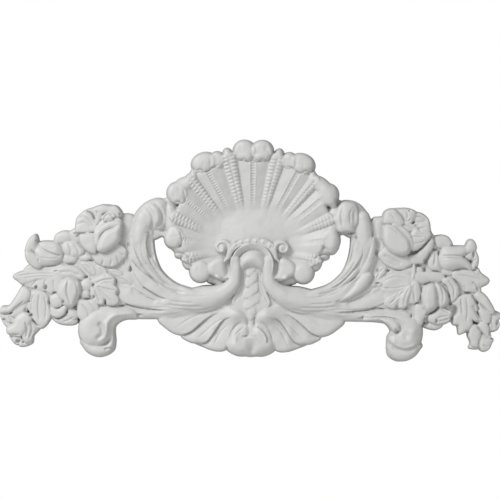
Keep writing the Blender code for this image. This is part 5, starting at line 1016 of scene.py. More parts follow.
blossom_left(work)
tulip_left(work)
say("carve the left blossom and tulip")

# %% [markdown]
# The bud and the broad leaf hang under the flowers. The bud is a full, round lobe that stands high over
# its sepals. The leaf is a handful of lobes round one stalk, each with a groove for its vein.

# %% Carve the left bud
def bud_left(work):
    """The fat bud with the petals that have dropped below it."""
    forms(work, (
        (13.8, 1.5, (0, 0.03), [(-199.5, -58), (-193, -59), (-187, -55.5), (-182, -55), (-176, -57),
            (-173.5, -61), (-177, -64.5), (-184, -65.2), (-192, -64), (-197, -61)]),
        (15.5, 1.5, (0.02, 0), [(-184, -49), (-177, -48.5), (-174, -52), (-174, -58), (-179, -60),
            (-184, -56)]),
        (17.0, 1.5, (0.04, 0.02), [(-200.5, -47), (-195, -49), (-189, -46.5), (-185.5, -45), (-184, -50),
            (-187, -55), (-193, -58.5), (-199.5, -57)]),
        (17.8, 1.5, (0.04, 0.02), [(-201.5, -38), (-196, -34), (-189, -36), (-186.5, -41), (-190, -46),
            (-195, -48.3), (-200, -46)]),
        (22.0, 4.5, (0, 0.02), [(-181, -17.6), (-188, -19.5), (-193, -26), (-194.5, -35), (-191, -41),
            (-184.5, -47.5), (-177, -46.5), (-173, -38), (-170.5, -30), (-172, -22)])))
    lines(work, (
        (0.85, 1.6, [(-183, -19.5), (-184.5, -32), (-180, -45.5)]),
        (0.75, 1.0, [(-176.5, -20.5), (-173.5, -31), (-175.5, -42)]),
        (0.75, 0.4, [(-189, -22), (-190.5, -31), (-187, -42)]),
        (0.7, 3.0, [(-200, -57), (-193, -58.8), (-187, -55.5), (-184.2, -51)]),
        (0.7, 1.2, [(-188, -62), (-182, -60), (-178, -57)])))
    work.pits((
        (-188, -42, 1.2, 1.7, 4), (-176.8, -47, 1.5, 1.3, 4), (-173.5, -49.5, 1.6, 1.1, 4),
        (-184.3, -51.5, 1.1, 2.2, 4), (-193, -48.3, 3.0, 0.8, 1.5)))


bud_left(work)
say("carve the left bud")

# %% Carve the left leaf cluster
def leaf_cluster_left(work):
    """The broad lobed leaf under the rose, with its small buds."""
    forms(work, (
        (14.5, 1.2, (0, 0.02), [(-164, -1), (-156, -3.5), (-149, -7), (-146, -12), (-150, -17),
            (-157, -21.5), (-161.5, -17), (-164, -8)]),
        (17.0, 1.8, (0, 0), [(-171.5, -25), (-168.5, -20), (-163, -18), (-159, -22), (-160, -28),
            (-164, -31), (-169.5, -30)]),
        (16.5, 1.8, (0, 0), [(-172, -33), (-168.5, -29.8), (-163.5, -29.5), (-161.3, -33), (-163, -38.3),
            (-169, -39)]),
        (18.0, 1.8, (0.02, 0), [(-174.5, -41), (-171, -38.7), (-165, -39.5), (-158, -39.5), (-154, -43),
            (-151.8, -49.5), (-157, -52.5), (-160, -57), (-166, -60.7), (-171.5, -59), (-174, -53)]),
        (18.0, 1.0, (-0.02, 0.05), [(-160, -21), (-152, -16), (-144, -13.3), (-137.5, -17), (-136, -23),
            (-142, -26.5), (-152, -27)]),
        (18.6, 1.0, (-0.02, 0.05), [(-158, -25), (-148, -24), (-138.5, -24.5), (-133.3, -29),
            (-134.5, -34.5), (-141, -35), (-150, -32)]),
        (18.2, 1.0, (0, 0.04), [(-158.5, -26), (-153, -27), (-148, -35), (-146.8, -42), (-151, -44.7),
            (-156, -41.5), (-160.5, -36), (-161, -30)]),
        (19.2, 1.0, (-0.02, 0.04), [(-157, -26), (-149, -28), (-141, -32), (-134.5, -35), (-132.3, -41),
            (-137, -45), (-144, -44.4), (-147, -38), (-151, -33)])))
    lines(work, (
        (0.75, 1.3, [(-156, -23), (-147, -19.5), (-138, -19)]),
        (0.75, 1.3, [(-155, -26), (-145, -28.5), (-135, -30.5)]),
        (0.75, 1.3, [(-154, -28), (-146, -35), (-138, -42)]),
        (0.75, 1.3, [(-157, -28), (-154, -36), (-151, -42)]),
        (0.7, 0.7, [(-150, -22), (-141, -22.5)]),
        (0.75, 1.2, [(-163, -3), (-161.5, -12), (-160, -18)]),
        (0.75, 1.0, [(-170, -44), (-164, -50), (-162, -57)]),
        (0.75, 1.0, [(-163, -41), (-158, -46), (-155, -50)]),
        (0.7, 1.2, [(-161, -30.5), (-161.5, -37)])))
    work.pits((
        (-135.8, -21, 1.1, 2.4, 3), (-134, -32.5, 1.4, 2.4, 3), (-146, -41.5, 1.3, 2.4, 3.5),
        (-157.5, -36.8, 1.3, 1.6, 3.5), (-158, -26, 1.3, 2.2, 3), (-164.5, -39, 3.4, 0.9, 3.5),
        (-146.3, -12.5, 1.4, 2.4, 3.5), (-152, -5.3, 1.9, 1.1, 3.5), (-137.5, -4.5, 2.0, 1.8, 3.5),
        (-121.3, -8.5, 1.1, 2.6, 3.5), (-123.8, 15.8, 1.0, 1.8, 2)))


leaf_cluster_left(work)
say("carve the left leaf cluster")

# %% [markdown]
# The rose is the highest form of the bouquet. Its outer petals lie low and its bud stands up, so a
# petal's height in the table goes up from the rim to the middle. Small pits mark where petals
# part, because the eye reads a deep dark dot there as depth.

# %% Carve the left rose
def rose_left(work):
    """The rose: a bud of two broad petals, ringed by smaller ones."""
    forms(work, (
        (14, 0.7, (0, 0), [(-172, 10), (-158, 0), (-143, -6), (-130, 0), (-125, 10), (-131, 34),
            (-131, 46), (-137, 53.5), (-150, 55), (-165, 49.5), (-176, 40), (-175, 24)]),
        (18.5, 1.2, (0.02, 0.04), [(-157, -1), (-152, -5), (-144, -6.5), (-137, -6), (-131, -1),
            (-126, 4), (-124.5, 9), (-128, 13.5), (-134, 17), (-141, 11), (-148, 7.5), (-156, 8),
            (-160, 5)]),
        (20.0, 1.5, (0.04, -0.05), [(-176.5, 28), (-176, 40), (-172, 45.5), (-166, 49.5), (-160, 46),
            (-157, 39), (-154, 31), (-163, 27), (-172, 26.5)]),
        (21.0, 1.5, (0.03, -0.03), [(-166, 49.5), (-159, 51.8), (-154, 53.5), (-150, 48), (-151, 41),
            (-156, 35), (-157.5, 43), (-161, 47)]),
        (21.5, 1.2, (0, -0.05), [(-156, 52), (-150, 55), (-143, 54), (-137, 54), (-132.5, 50),
            (-131, 45), (-136, 43), (-145, 47.5), (-152, 46)]),
        (22.5, 1.8, (0.03, 0), [(-173, 22), (-170, 14), (-163, 8), (-157, 6.8), (-155, 12), (-155, 20),
            (-157, 26), (-162, 27), (-171, 26)]),
        (22.0, 1.2, (0, -0.04), [(-158, 27), (-155, 34), (-150, 40.5), (-143, 42.5), (-135, 43),
            (-131, 40), (-131, 35), (-140, 33), (-150, 29), (-154, 22)]),
        (24.0, 1.8, (0, 0), [(-150.5, 41), (-148, 46), (-141, 48), (-136.5, 45), (-138, 40), (-145, 38.5)]),
        (23.8, 1.2, (0, 0), [(-157, 18), (-155.5, 27), (-150, 33.5), (-143, 38), (-134, 39),
            (-131, 35.5), (-140, 32.5), (-147, 29.5), (-152, 24), (-154, 15)]),
        (25.8, 3.5, (0, 0), [(-155, 11), (-153, 20), (-150.5, 25.5), (-146.5, 29.5), (-140, 32.3),
            (-133, 35.5), (-130.6, 33), (-131.4, 27), (-132, 20), (-136, 15.5), (-141, 11.5),
            (-147, 8.3), (-152, 8.3)])))
    lines(work, (
        (0.95, 1.1, [(-176, 41), (-169, 43), (-162, 39), (-158, 33)]),
        (0.95, 0.9, [(-176, 35), (-168, 37.5), (-160, 32)]),
        (0.75, 2.0, [(-166, 49), (-160.5, 46.5), (-157.3, 40)]),
        (0.7, 1.6, [(-148, 39), (-147, 44), (-142, 46), (-139, 43)]),
        (0.7, 2.2, [(-179, 26.5), (-171, 26.7), (-164, 26.3)]),
        (0.7, 1.5, [(-156, 49.5), (-154, 46)])))
    work.pits((
        (-146.3, 38.2, 1.4, 1.0, 2), (-138.3, 41.7, 1.2, 1.1, 3), (-174.5, 24, 1.4, 1.2, 2),
        (-132, 46, 1.3, 1.6, 3)))


rose_left(work)
say("carve the left rose")

# %% Carve the little leaves under the left rose
def small_leaves(work):
    """The little leaf tips under the left rose, and the notches of its lowest petals."""
    for tip in (((-171, -3), (-165, -1.5), (-158, -6), (-155.5, -13), (-159, -16), (-166, -10)),
                ((-156, -5.5), (-149, -5.5), (-144, -11.5), (-146.5, -16), (-152, -12)),
                ((-143, -8.5), (-135, -9), (-128, -13), (-133, -16.2), (-140, -14)),
                ((-127.6, 13), (-124, 10), (-121.8, -2), (-123, -10.5), (-126.6, -6), (-128.4, 4))):
        work.lobe(tip, 15.4, puff=1.4, fall=2.5, rounding=0.8)
    for vein in (((-168, -4), (-162, -8), (-158.5, -13.5)), ((-153, -7.5), (-149, -11), (-147, -14)),
                 ((-140, -11), (-134.5, -12.5), (-130, -13.5)), ((-125.5, 10), (-124.6, 1), (-124, -7))):
        work.cut(vein, 0.7, 0.8)
    for notch in (((-151, -7), (-149.3, -3), (-148.5, 2)), ((-141.5, -7), (-140.5, -2), (-140, 2.5)),
                  ((-132.5, -3.5), (-133.8, 1), (-135.5, 5)), ((-126, 4), (-129.5, 6), (-133, 8.5))):
        work.cut(notch, 0.9, 1.3, fade=2.5)


small_leaves(work)
say("carve the little leaves under the left rose")

# %% [markdown]
# ## The right bouquet
# The right bouquet holds the same kinds of flower, but it isn't a mirror image: the rose opens
# towards the other side and the leaves are cut differently. It is drawn with the same functions, on
# the other hand. Its points are written as if for the left side, so both are read the same way.

# %% Lay the right plate
def plate_right(work):
    """The ground under the right bouquet, and the strip beside its rose."""
    work.lobe([(-104, -10), (-116, 30), (-121, 45), (-132, 46), (-150, 52), (-172, 45), (-180, 30),
               (-197, 18), (-205, 0), (-224, -6), (-228, -20), (-224, -40), (-216, -60), (-203, -57),
               (-172, -58), (-150, -48), (-118, -40)], 13.2, puff=0)
    work.lobe([(-121, 28), (-120.3, 38), (-123, 44.5), (-130, 46.5), (-132, 40), (-131.5, 25), (-127, 17),
               (-122.5, 20)], 14)


work.hand = -1
plate_right(work)
say("lay the right plate")

# %% Carve the right bell flowers
def bells_right(work):
    """The right bell flowers, and the toothed leaf beside them."""
    forms(work, (
        (12.5, 0.9, (0, 0), [(-219, -83.7), (-228, -84), (-228.5, -79.5), (-220, -80.5)]),
        (14.8, 1.2, (0, 0), [(-230, -69), (-236, -73), (-242.3, -74.5), (-240.7, -79), (-238.3, -84),
            (-233.5, -86.5), (-228.8, -84), (-228, -77)]),
        (14.8, 1.2, (-0.03, 0), [(-241, -46.5), (-248, -48.3), (-250.5, -52), (-247.3, -55),
            (-248.3, -60), (-246, -65), (-240, -66.3), (-237.5, -62), (-239.5, -54)]),
        (16.0, 1.2, (0, 0.02), [(-220, -61), (-225, -60), (-229.5, -66), (-229.5, -74), (-227.7, -82),
            (-221, -81.5), (-219.5, -76), (-217, -69.5)]),
        (16.3, 1.2, (-0.05, 0.02), [(-226, -61), (-231, -57), (-236.5, -59.5), (-239, -67),
            (-239.8, -73.5), (-235.5, -72.5), (-230, -67)]),
        (15.8, 1.2, (-0.03, 0.03), [(-227.5, -38.5), (-233, -43.5), (-239.5, -49.5), (-239.7, -57),
            (-234, -59), (-230, -55), (-226.5, -46)]),
        (17.8, 1.5, (-0.10, 0), [(-227, -27.2), (-233, -30), (-238.5, -37), (-243.3, -46.7), (-239, -49),
            (-233, -43.5), (-227.5, -38), (-222, -31)]),
        (16.8, 1.2, (0, 0.02), [(-207.5, -31.7), (-213, -29.7), (-219.5, -29.7), (-223.5, -35),
            (-227, -43.5), (-225.5, -48), (-231, -57.5), (-224, -57), (-221, -55), (-221.3, -60),
            (-217, -66), (-213, -68), (-208.3, -69.5), (-207.3, -64), (-206, -61), (-202, -59.3),
            (-201.3, -53), (-205, -48), (-205.5, -43), (-200.5, -39.5), (-203, -36)])))
    lines(work, (
        (0.75, 1.8, [(-228, -38.3), (-233, -43), (-240, -49)]),
        (0.75, 1.8, [(-226, -61.5), (-231, -67.5), (-238, -74)]),
        (0.75, 1.2, [(-228.5, -74), (-227.7, -82)]),
        (0.95, 1.2, [(-209.5, -33), (-210, -42), (-211, -50)]),
        (0.75, 0.9, [(-214.5, -32), (-216, -44), (-215, -58)]),
        (1.6, 1.4, [(-221, -40), (-226, -49), (-229, -56)]),
        (0.85, 2.2, [(-220, -30), (-224, -36.5), (-227, -44)]),
        (0.7, 1.2, [(-239.7, -52), (-240, -58), (-243, -64)]),
        (0.75, 1.2, [(-232, -80), (-237, -82.5)])))
    work.pits((
        (-246, -58, 1.2, 2.4, 3), (-206, -61.5, 1.4, 1.2, 4), (-227, -44, 1.1, 1.3, 3),
        (-227.5, -57, 3.0, 1.2, 2), (-228.5, -83.7, 1.3, 0.9, 3), (-216, -67.5, 1.8, 1.6, 4.5),
        (-238.5, -68.5, 0.9, 3.0, 2), (-201, -43.5, 2.0, 1.5, 1.5)))


bells_right(work)
say("carve the right bell flowers")

# %% Carve the right leaves
def leaves_right(work):
    """The toothed leaf that points outwards, and the curled one inside it."""
    forms(work, (
        (16.5, 1.2, (0.02, 0), [(-202, -6.5), (-212, -5), (-221, -6.3), (-226, -3.7), (-229.8, -9),
            (-237.3, -14.7), (-235.8, -19), (-229.5, -22.3), (-228.5, -27.5), (-217, -27.5),
            (-212, -26.5), (-209.5, -21), (-204, -16), (-200.5, -12.5)]),
        (18.5, 1.2, (0.05, 0), [(-192.5, -13.3), (-199, -13), (-204, -18), (-208, -24.5), (-207, -31),
            (-202.5, -36.8), (-199.5, -37), (-198, -30), (-195, -22), (-190.5, -18)])))
    lines(work, (
        (0.75, 0.9, [(-205, -10), (-220, -12.5), (-235, -16)]),
        (0.75, 1.5, [(-220, -17), (-224.5, -20.5), (-226, -26)]),
        (0.7, 1.2, [(-212, -21), (-214.5, -26)]),
        (0.85, 1.1, [(-196, -15), (-202, -24), (-202, -34)]),
        (0.75, 0.8, [(-221, -7), (-226, -10), (-229, -10)])))
    work.pits((
        (-215.8, -28.3, 3.0, 1.1, 3.5), (-227.5, -24.5, 2.4, 2.4, 1.5), (-193.7, -12.5, 2.8, 1.2, 3.5),
        (-207.7, -25, 1.0, 2.0, 1.5)))


leaves_right(work)
say("carve the right leaves")

# %% Carve the right blossom and tulip
def blossom_right(work):
    """The small flower and the petals between the rose and the tulip."""
    forms(work, (
        (15.5, 1.2, (0, 0), [(-190, -4), (-198, -4.8), (-201.5, -8), (-199, -11), (-192, -10.5),
            (-189, -8)]),
        (15.0, 0.9, (0, 0), [(-179.5, 27), (-182.5, 25.5), (-184.5, 18), (-183.5, 14.5), (-180, 15.5),
            (-181, 20)]),
        (17.0, 1.5, (0, 0.02), [(-181.7, 26.3), (-188, 28.6), (-194.5, 27.8), (-198.5, 24),
            (-200.3, 18.3), (-194, 16), (-188, 16), (-184, 18)]),
        (16.5, 1.8, (0, 0.02), [(-180, 13.5), (-186, 13.5), (-188, 6), (-189, -1), (-190, -7),
            (-183, -6.8), (-177, -4), (-175, 2), (-177.5, 8)])))
    lines(work, ((1.0, 1.2, [(-183, 12), (-183, 5), (-182, -2)]),))
    work.pits((
        (-182, 14.5, 2.5, 1.1, 3.5), (-186.5, 11, 0.9, 2.5, 3.5), (-183.5, -7.2, 3.0, 0.9, 3),
        (-172.7, -6, 1.3, 2.4, 3.5), (-200.3, 18.6, 1.6, 1.2, 3.5)))


def tulip_right(work):
    """The right tulip, with one long petal turned back at its mouth."""
    forms(work, (
        (17.5, 1.2, (-0.05, 0), [(-222, 15), (-225.8, 9), (-226.3, 2), (-224.7, -2.8), (-220, -6),
            (-219, 0), (-220, 8)]),
        (17.5, 0.9, (0, 0), [(-211, 8.3), (-219.5, 12), (-221, 8), (-218, 4.5)]),
        (18.5, 1.5, (-0.08, 0.02), [(-212, 14), (-214.3, 20), (-216.5, 23.9), (-220, 24.5), (-223, 21.5),
            (-224.2, 16), (-221, 11.5), (-215, 10)])))
    work.lobe([(-187, 6), (-188.3, 13), (-192, 17.3), (-202, 18), (-213, 17.8), (-218, 12.5), (-212.5, 8),
               (-216.5, 4), (-220, -1), (-220, -6.5), (-211, -3.2), (-200, -5.8), (-190.5, -3.8)], 20.2,
              puff=4, fall=9, rounding=1.0)
    lines(work, (
        (0.75, 1.4, [(-190, 8.6), (-200, 8.9), (-210.5, 8.2)]),
        (0.7, 0.9, [(-190, 6.3), (-200, 6.3), (-209, 4.8)]),
        (0.75, 1.6, [(-211, 8.2), (-216, 4.3), (-219.5, 1)]),
        (0.7, 1.2, [(-212, 8.8), (-219, 12.5)]),
        (0.7, 1.4, [(-218.5, 3), (-224.5, 5.5)])))
    work.pits((
        (-221.5, 10, 0.9, 3.5, 3), (-219.6, 2, 1.1, 1.9, 3.5), (-211.3, 8, 1.3, 0.9, 2),
        (-222, -5.5, 2.6, 1.0, 2), (-224.2, -2.8, 1.1, 0.9, 3), (-206, -5.7, 3.5, 0.8, 1.5)))


blossom_right(work)
tulip_right(work)
say("carve the right blossom and tulip")

# %% Carve the right leaf cluster
def leaf_cluster_right(work):
    """The spread leaf under the right rose, and the little leaves by its stalk."""
    forms(work, (
        (13.5, 0.9, (0, 0), [(-156, -44), (-163, -42), (-164.7, -52), (-165, -60), (-158, -58),
            (-153, -51)]),
        (16.0, 0.9, (0, 0), [(-164.5, -3), (-170, -3.5), (-171, -8), (-166, -11), (-164, -8)]),
        (15.5, 0.9, (0, 0.03), [(-146, -6), (-153, -4.5), (-161, -3), (-161, -10), (-154, -11),
            (-143, -9)]),
        (15.5, 0.9, (0, 0.02), [(-122, -18), (-124, -10), (-129, -3), (-135, -4), (-134, -9), (-127, -16)]),
        (16.6, 0.8, (0, 0.02), [(-131, -20), (-133, -30), (-135, -41), (-143, -43.3), (-152, -44.3),
            (-160, -39), (-167.5, -34), (-168, -22), (-162, -12), (-148, -10), (-137, -13)]),
        (16.8, 1.0, (-0.02, 0.04), [(-160, -12), (-150, -9), (-141, -9.3), (-134, -13.5), (-127, -19.3),
            (-136, -21), (-146, -20), (-156, -19)]),
        (17.2, 1.0, (-0.02, 0.04), [(-158, -18), (-146, -19.5), (-137, -21.5), (-130.5, -24.5),
            (-132.5, -29), (-140, -30.5), (-150, -28), (-157, -24)]),
        (17.5, 1.0, (0, 0.04), [(-160, -18), (-156.5, -27), (-157, -37), (-160, -39.7), (-165.5, -38.7),
            (-168.7, -32), (-168.5, -24), (-165, -17)]),
        (17.8, 1.0, (-0.02, 0.04), [(-156, -23), (-150, -26.5), (-143, -30), (-135.5, -34),
            (-132.7, -40), (-136, -43.7), (-143, -44.5), (-146.7, -40), (-150, -33)]),
        (18.5, 1.0, (0, 0.04), [(-158, -21), (-152.5, -27), (-148, -35), (-147.3, -43), (-151, -45.7),
            (-155, -42.5), (-157, -34), (-160, -26)])))
    lines(work, (
        (0.75, 0.8, [(-156, -15), (-143, -13), (-131, -18)]),
        (0.75, 0.8, [(-155, -22), (-145, -24), (-133, -25.5)]),
        (0.75, 0.9, [(-153, -26), (-146, -33), (-138, -40.5)]),
        (0.75, 0.8, [(-157, -24), (-153.5, -33), (-152, -43)]),
        (0.75, 0.8, [(-162, -20), (-162, -29), (-163.5, -38)]),
        (0.7, 0.8, [(-148, -28), (-142, -35)]),
        (0.75, 1.0, [(-124, -16), (-128, -9), (-131, -5)])))
    work.pits((
        (-126, -7.5, 1.2, 1.9, 3), (-136, -7, 2.2, 1.0, 3), (-147, -6.2, 3.2, 0.8, 3),
        (-125.5, -19.5, 2.0, 0.9, 3.5), (-133.8, -24.4, 3.6, 0.8, 1), (-145.3, -43.3, 1.3, 1.9, 2),
        (-154.7, -44, 1.5, 1.5, 2), (-151, -45, 3.2, 0.8, 3), (-165.3, -39.6, 1.7, 1.1, 3.5),
        (-160, -52, 0.9, 1.9, 4), (-163, -32, 0.9, 3.0, 0.5)))


leaf_cluster_right(work)
say("carve the right leaf cluster")

# %% Carve the right bud
def bud_right(work):
    """The right bud between its sepals, with its fallen petals."""
    forms(work, (
        (13.8, 1.2, (0, 0.03), [(-176, -59), (-186, -59.5), (-191, -60.3), (-190, -63), (-184, -65.5),
            (-176, -64), (-172, -61.5)]),
        (18.0, 1.5, (0, 0.03), [(-188.5, -42.5), (-195, -45.5), (-200, -47), (-200.3, -52),
            (-197, -57.5), (-190, -60), (-181, -59), (-176.5, -56), (-178, -51), (-184, -46.5)]),
        (17.5, 1.5, (0, 0), [(-164, -40.5), (-171, -41), (-177, -45.5), (-177, -51), (-172.5, -55),
            (-171, -60.3), (-165, -60), (-163.3, -50)]),
        (16.5, 1.5, (0, 0.12), [(-160, -9), (-170, -8), (-181, -7.5), (-191, -9.5), (-193, -15),
            (-187, -18.5), (-178, -18), (-171, -20.5), (-163, -18)]),
        (20.5, 3, (0, 0), [(-183, -19.5), (-189, -20.5), (-194, -26), (-197.5, -33), (-196.7, -39),
            (-192, -42.7), (-187, -42.5), (-185, -34)]),
        (22.5, 4.5, (0, 0), [(-171.5, -22.5), (-176, -20), (-181.5, -19.3), (-185, -23), (-186.8, -32),
            (-186.5, -41), (-181.5, -46.5), (-175, -48), (-171.3, -41), (-169.8, -31)])))
    work.rib([(-162, 1), (-162.2, -8), (-160, -17)], 1.9, 17, crown=1.5)
    lines(work, (
        (0.75, 3.0, [(-173, -51), (-179, -49.7), (-184.5, -46), (-187.8, -42.6)]),
        (0.75, 1.2, [(-186, -53.5), (-191, -52.2), (-197, -51.5)]),
        (0.75, 1.2, [(-189, -43.7), (-193, -46), (-198, -48)]),
        (0.75, 1.1, [(-187, -57), (-192, -56), (-198, -54)]),
        (0.75, 1.2, [(-175, -21), (-173.5, -31), (-175, -42)]),
        (0.75, 1.0, [(-189, -22), (-191.5, -31), (-190.5, -40)]),
        (0.75, 1.3, [(-171, -43), (-175, -47), (-176, -51)]),
        (0.7, 1.8, [(-172.5, -20.8), (-176, -19.3), (-179, -18)])))
    work.pits((
        (-185.2, -56.7, 1.3, 1.9, 3.5), (-198.8, -39.5, 1.3, 1.5, 4), (-203.7, -46.5, 2.0, 4.0, 4),
        (-200.6, -55, 1.3, 3.0, 4), (-175, -57.5, 2.3, 4.0, 3), (-197.3, -32.5, 0.9, 2.5, 2),
        (-174, -20.3, 2.6, 0.8, 1.5)))


bud_right(work)
say("carve the right bud")

# %% Carve the right rose
def rose_right(work):
    """The right rose, which opens towards the other side."""
    forms(work, (
        (14, 0.7, (0, 0), [(-126, 6), (-137, -3), (-151, -6), (-166, -1.5), (-173, 1.5), (-181, 24),
            (-177, 36), (-173, 46), (-163, 51), (-152, 55), (-138, 54), (-131, 48), (-131, 30)]),
        (18.0, 1.2, (0, 0.03), [(-126, 8), (-128.5, 13), (-134, 16.5), (-141, 12), (-149, 8.5),
            (-155.5, 8.5), (-158, 4), (-160, 0), (-155, -3.5), (-148, -6), (-139, -4), (-131, 1)]),
        (19.0, 1.2, (0, 0.03), [(-157, 8), (-164, 11), (-171, 17.5), (-178, 26), (-181.3, 24),
            (-181, 18), (-178.5, 12), (-175, 6), (-172, 1), (-165, -0.3), (-160, 0.5), (-157.5, 4)]),
        (19.5, 1.2, (0, -0.03), [(-162, 42), (-169, 42), (-175.8, 44), (-170.5, 49.5), (-163, 51.2),
            (-160, 47)]),
        (20.3, 1.2, (0, -0.03), [(-158, 35), (-162, 41), (-170, 42), (-175.8, 43.5), (-177.4, 38),
            (-177, 32), (-168, 32.5)]),
        (21.0, 1.5, (0.02, -0.02), [(-145, 52), (-150, 55), (-158, 54.3), (-163.5, 51), (-161.5, 44),
            (-156, 39), (-151, 41)]),
        (20.8, 1.2, (0.02, 0.02), [(-148, 43), (-154, 42), (-160.5, 39.5), (-164, 35), (-158, 30.5),
            (-151, 34)]),
        (22.0, 1.5, (0.02, 0), [(-157, 24), (-158.5, 14), (-165, 14), (-171, 18.5), (-177.5, 26.5),
            (-178, 31.5), (-170, 34.5), (-160, 34)]),
        (22.3, 1.5, (0, -0.03), [(-130.8, 46), (-133, 52), (-139, 54.4), (-144, 53), (-149.3, 47.5),
            (-152, 41.5), (-147, 37), (-139, 39.5), (-131.5, 40)]),
        (23.3, 1.2, (0, 0), [(-142, 40), (-150, 37), (-157, 31), (-161, 22), (-159, 14), (-154, 20),
            (-148, 30), (-138, 37)]),
        (25.8, 3.5, (0, 0), [(-130.7, 36), (-134, 39), (-141, 38.3), (-149, 32.8), (-155.5, 26.5),
            (-158.5, 18), (-157, 11), (-151, 8.3), (-143, 9.5), (-136, 14), (-131.5, 21), (-130.3, 28)])))
    lines(work, (
        (0.7, 3.5, [(-157, 8.7), (-164, 11.7), (-171, 18), (-178, 26)]),
        (0.85, 3.0, [(-172, 0.5), (-175, 6.5), (-178.5, 12.5)]),
        (0.75, 2.0, [(-144, 52.8), (-149, 48), (-152, 42)]),
        (0.7, 1.8, [(-162, 40), (-165, 36.5), (-167.5, 33.8)]),
        (0.85, 0.9, [(-132, 37), (-139, 35.5), (-146, 30)]),
        (0.75, 1.0, [(-157, 31.5), (-162, 33)]),
        (0.75, 1.0, [(-158, 26.5), (-164, 27.5), (-171, 27)]),
        (1.4, 1.2, [(-131, 9), (-140, 4.5), (-150, -0.5)]),
        (0.75, 1.2, [(-163, 47), (-169, 47), (-174, 44)]),
        (0.7, 1.2, [(-150, 39.5), (-156, 37.5), (-161, 35)]),
        (0.7, 0.8, [(-158, 46), (-156, 42.5), (-151.5, 43)])))
    work.pits((
        (-167.5, 33.5, 1.6, 1.2, 1), (-162, 10.8, 4.0, 1.0, 1.5), (-173.3, 2.5, 1.7, 2.4, 3.5),
        (-166, -1.2, 2.3, 1.3, 3.5), (-157, 53, 1.2, 0.9, 1.5), (-124, 10.8, 1.3, 2.6, 4),
        (-126, 20, 2.6, 4.5, 1.5)))


rose_right(work)
say("carve the right rose")

# %% Cut the veins of the right petals
def petal_veins(work):
    """Fine lines on the right rose, the leaf beside it and the roll of the right curl."""
    for half, depth, vein in (
            (0.7, 0.9, ((-135, 51), (-140, 47.5), (-143, 42))),
            (0.7, 0.9, ((-153, 53), (-155, 48.5), (-154, 44))),
            (0.7, 0.8, ((-168, 40), (-164, 38), (-161, 35.5))),
            (0.7, 0.8, ((-175, 37), (-169, 36), (-163, 34))),
            (0.7, 0.9, ((-174, 24), (-167, 21), (-160, 21))),
            (0.7, 0.9, ((-175, 29), (-168, 30), (-161, 30.5))),
            (0.8, 0.7, ((-150, 34), (-143.5, 36.6), (-134.5, 37))),
            (0.8, 0.7, ((-133, 3), (-141, -1), (-149, -3))),
            (0.8, 0.8, ((-101, 57), (-97.5, 50), (-97.5, 42), (-99, 36))),
            (0.8, 0.8, ((-91, 57), (-88.2, 50), (-88.5, 42), (-91, 35)))):
        work.cut(vein, half, depth, fade=3)


petal_veins(work)
say("cut the veins of the right petals")

# %% [markdown]
# ## Tool marks
# The pattern for the mould was modelled by hand, so no petal or leaf is quite even. Smoothed noise gives
# hills and hollows of about a fifth of a millimetre, which keep the broad forms from looking machined.

# %% Mark the surface
# The height of the marks, how broad the two sizes of mark are, and the noise's seed
TOOL_MARKS = 0.15
BROAD_MARK = 3.2
FINE_MARK = 1.2
MARK_SEED = 5


def modelling(work):
    """The slight hills and hollows that a modelling tool leaves, no higher than the highest petal."""
    grain = np.random.default_rng(MARK_SEED).standard_normal(work.height.shape)
    broad = smoothed(grain, BROAD_MARK / work.step)
    fine = smoothed(grain[::-1], FINE_MARK / work.step)
    hills = TOOL_MARKS * (broad / broad.std() + 0.4 * fine / fine.std())
    hills *= np.clip((work.height - 3) / 6, 0, 1)
    work.height = np.minimum(work.height + hills, work.height.max())


modelling(work)
say("mark the surface")

# %% [markdown]
# ## From heights to a casting
# Paint rounds every edge of a casting a little, so the whole field is softened once. A grid is raised to
# the heights, thinned where it is flat, cut off at the back plane and closed by one flat back. That is
# how the real piece is made as well: it is poured in an open mould and struck off flat.

# %% Raise and thin the grid
# How far paint rounds an edge, in drawing units, and how many triangles are kept
SOFTENING = 0.28
KEPT_TRIANGLES = 185000


def raised_grid():
    """A grid whose points stand at the carved heights, thinned by a Decimate modifier."""
    bpy.ops.mesh.primitive_grid_add(x_subdivisions=columns, y_subdivisions=rows, size=1)
    grid = bpy.context.active_object
    places = np.stack([grid_x * UNIT, -work.height * HEIGHT_UNIT, grid_z * UNIT], axis=-1)
    grid.data.vertices.foreach_set("co", places.ravel().astype(np.float32))
    thin = grid.modifiers.new("thin", "DECIMATE")
    thin.ratio = min(1.0, KEPT_TRIANGLES / (2 * columns * rows))
    thin.use_collapse_triangulate = True
    return grid


work.soften(SOFTENING)
grid = raised_grid()
print("The grid has", len(grid.data.polygons), "squares")

# %% Close the casting
SHARP_ANGLE = math.radians(60)


def casting(grid):
    """The thinned surface, closed at the back plane and held within the solid's own box."""
    thinned = bpy.data.meshes.new_from_object(grid.evaluated_get(bpy.context.evaluated_depsgraph_get()))
    bpy.data.objects.remove(grid)
    shape = bmesh.new()
    shape.from_mesh(thinned)
    bpy.data.meshes.remove(thinned)
    everything = shape.verts[:] + shape.edges[:] + shape.faces[:]
    bmesh.ops.bisect_plane(shape, geom=everything, plane_co=(0, 0, 0), plane_no=(0, 1, 0), clear_outer=True)
    rim = [edge for edge in shape.edges if edge.is_boundary]
    bmesh.ops.triangle_fill(shape, edges=rim, normal=(0, 1, 0), use_beauty=True)
    low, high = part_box("onlay")
    for vert in shape.verts:
        vert.co = [min(max(place, least), most) for place, least, most in zip(vert.co, low, high)]
    bmesh.ops.recalc_face_normals(shape, faces=shape.faces)
    mesh = bpy.data.meshes.new("onlay_casting")
    shape.to_mesh(mesh)
    shape.free()
    return mesh


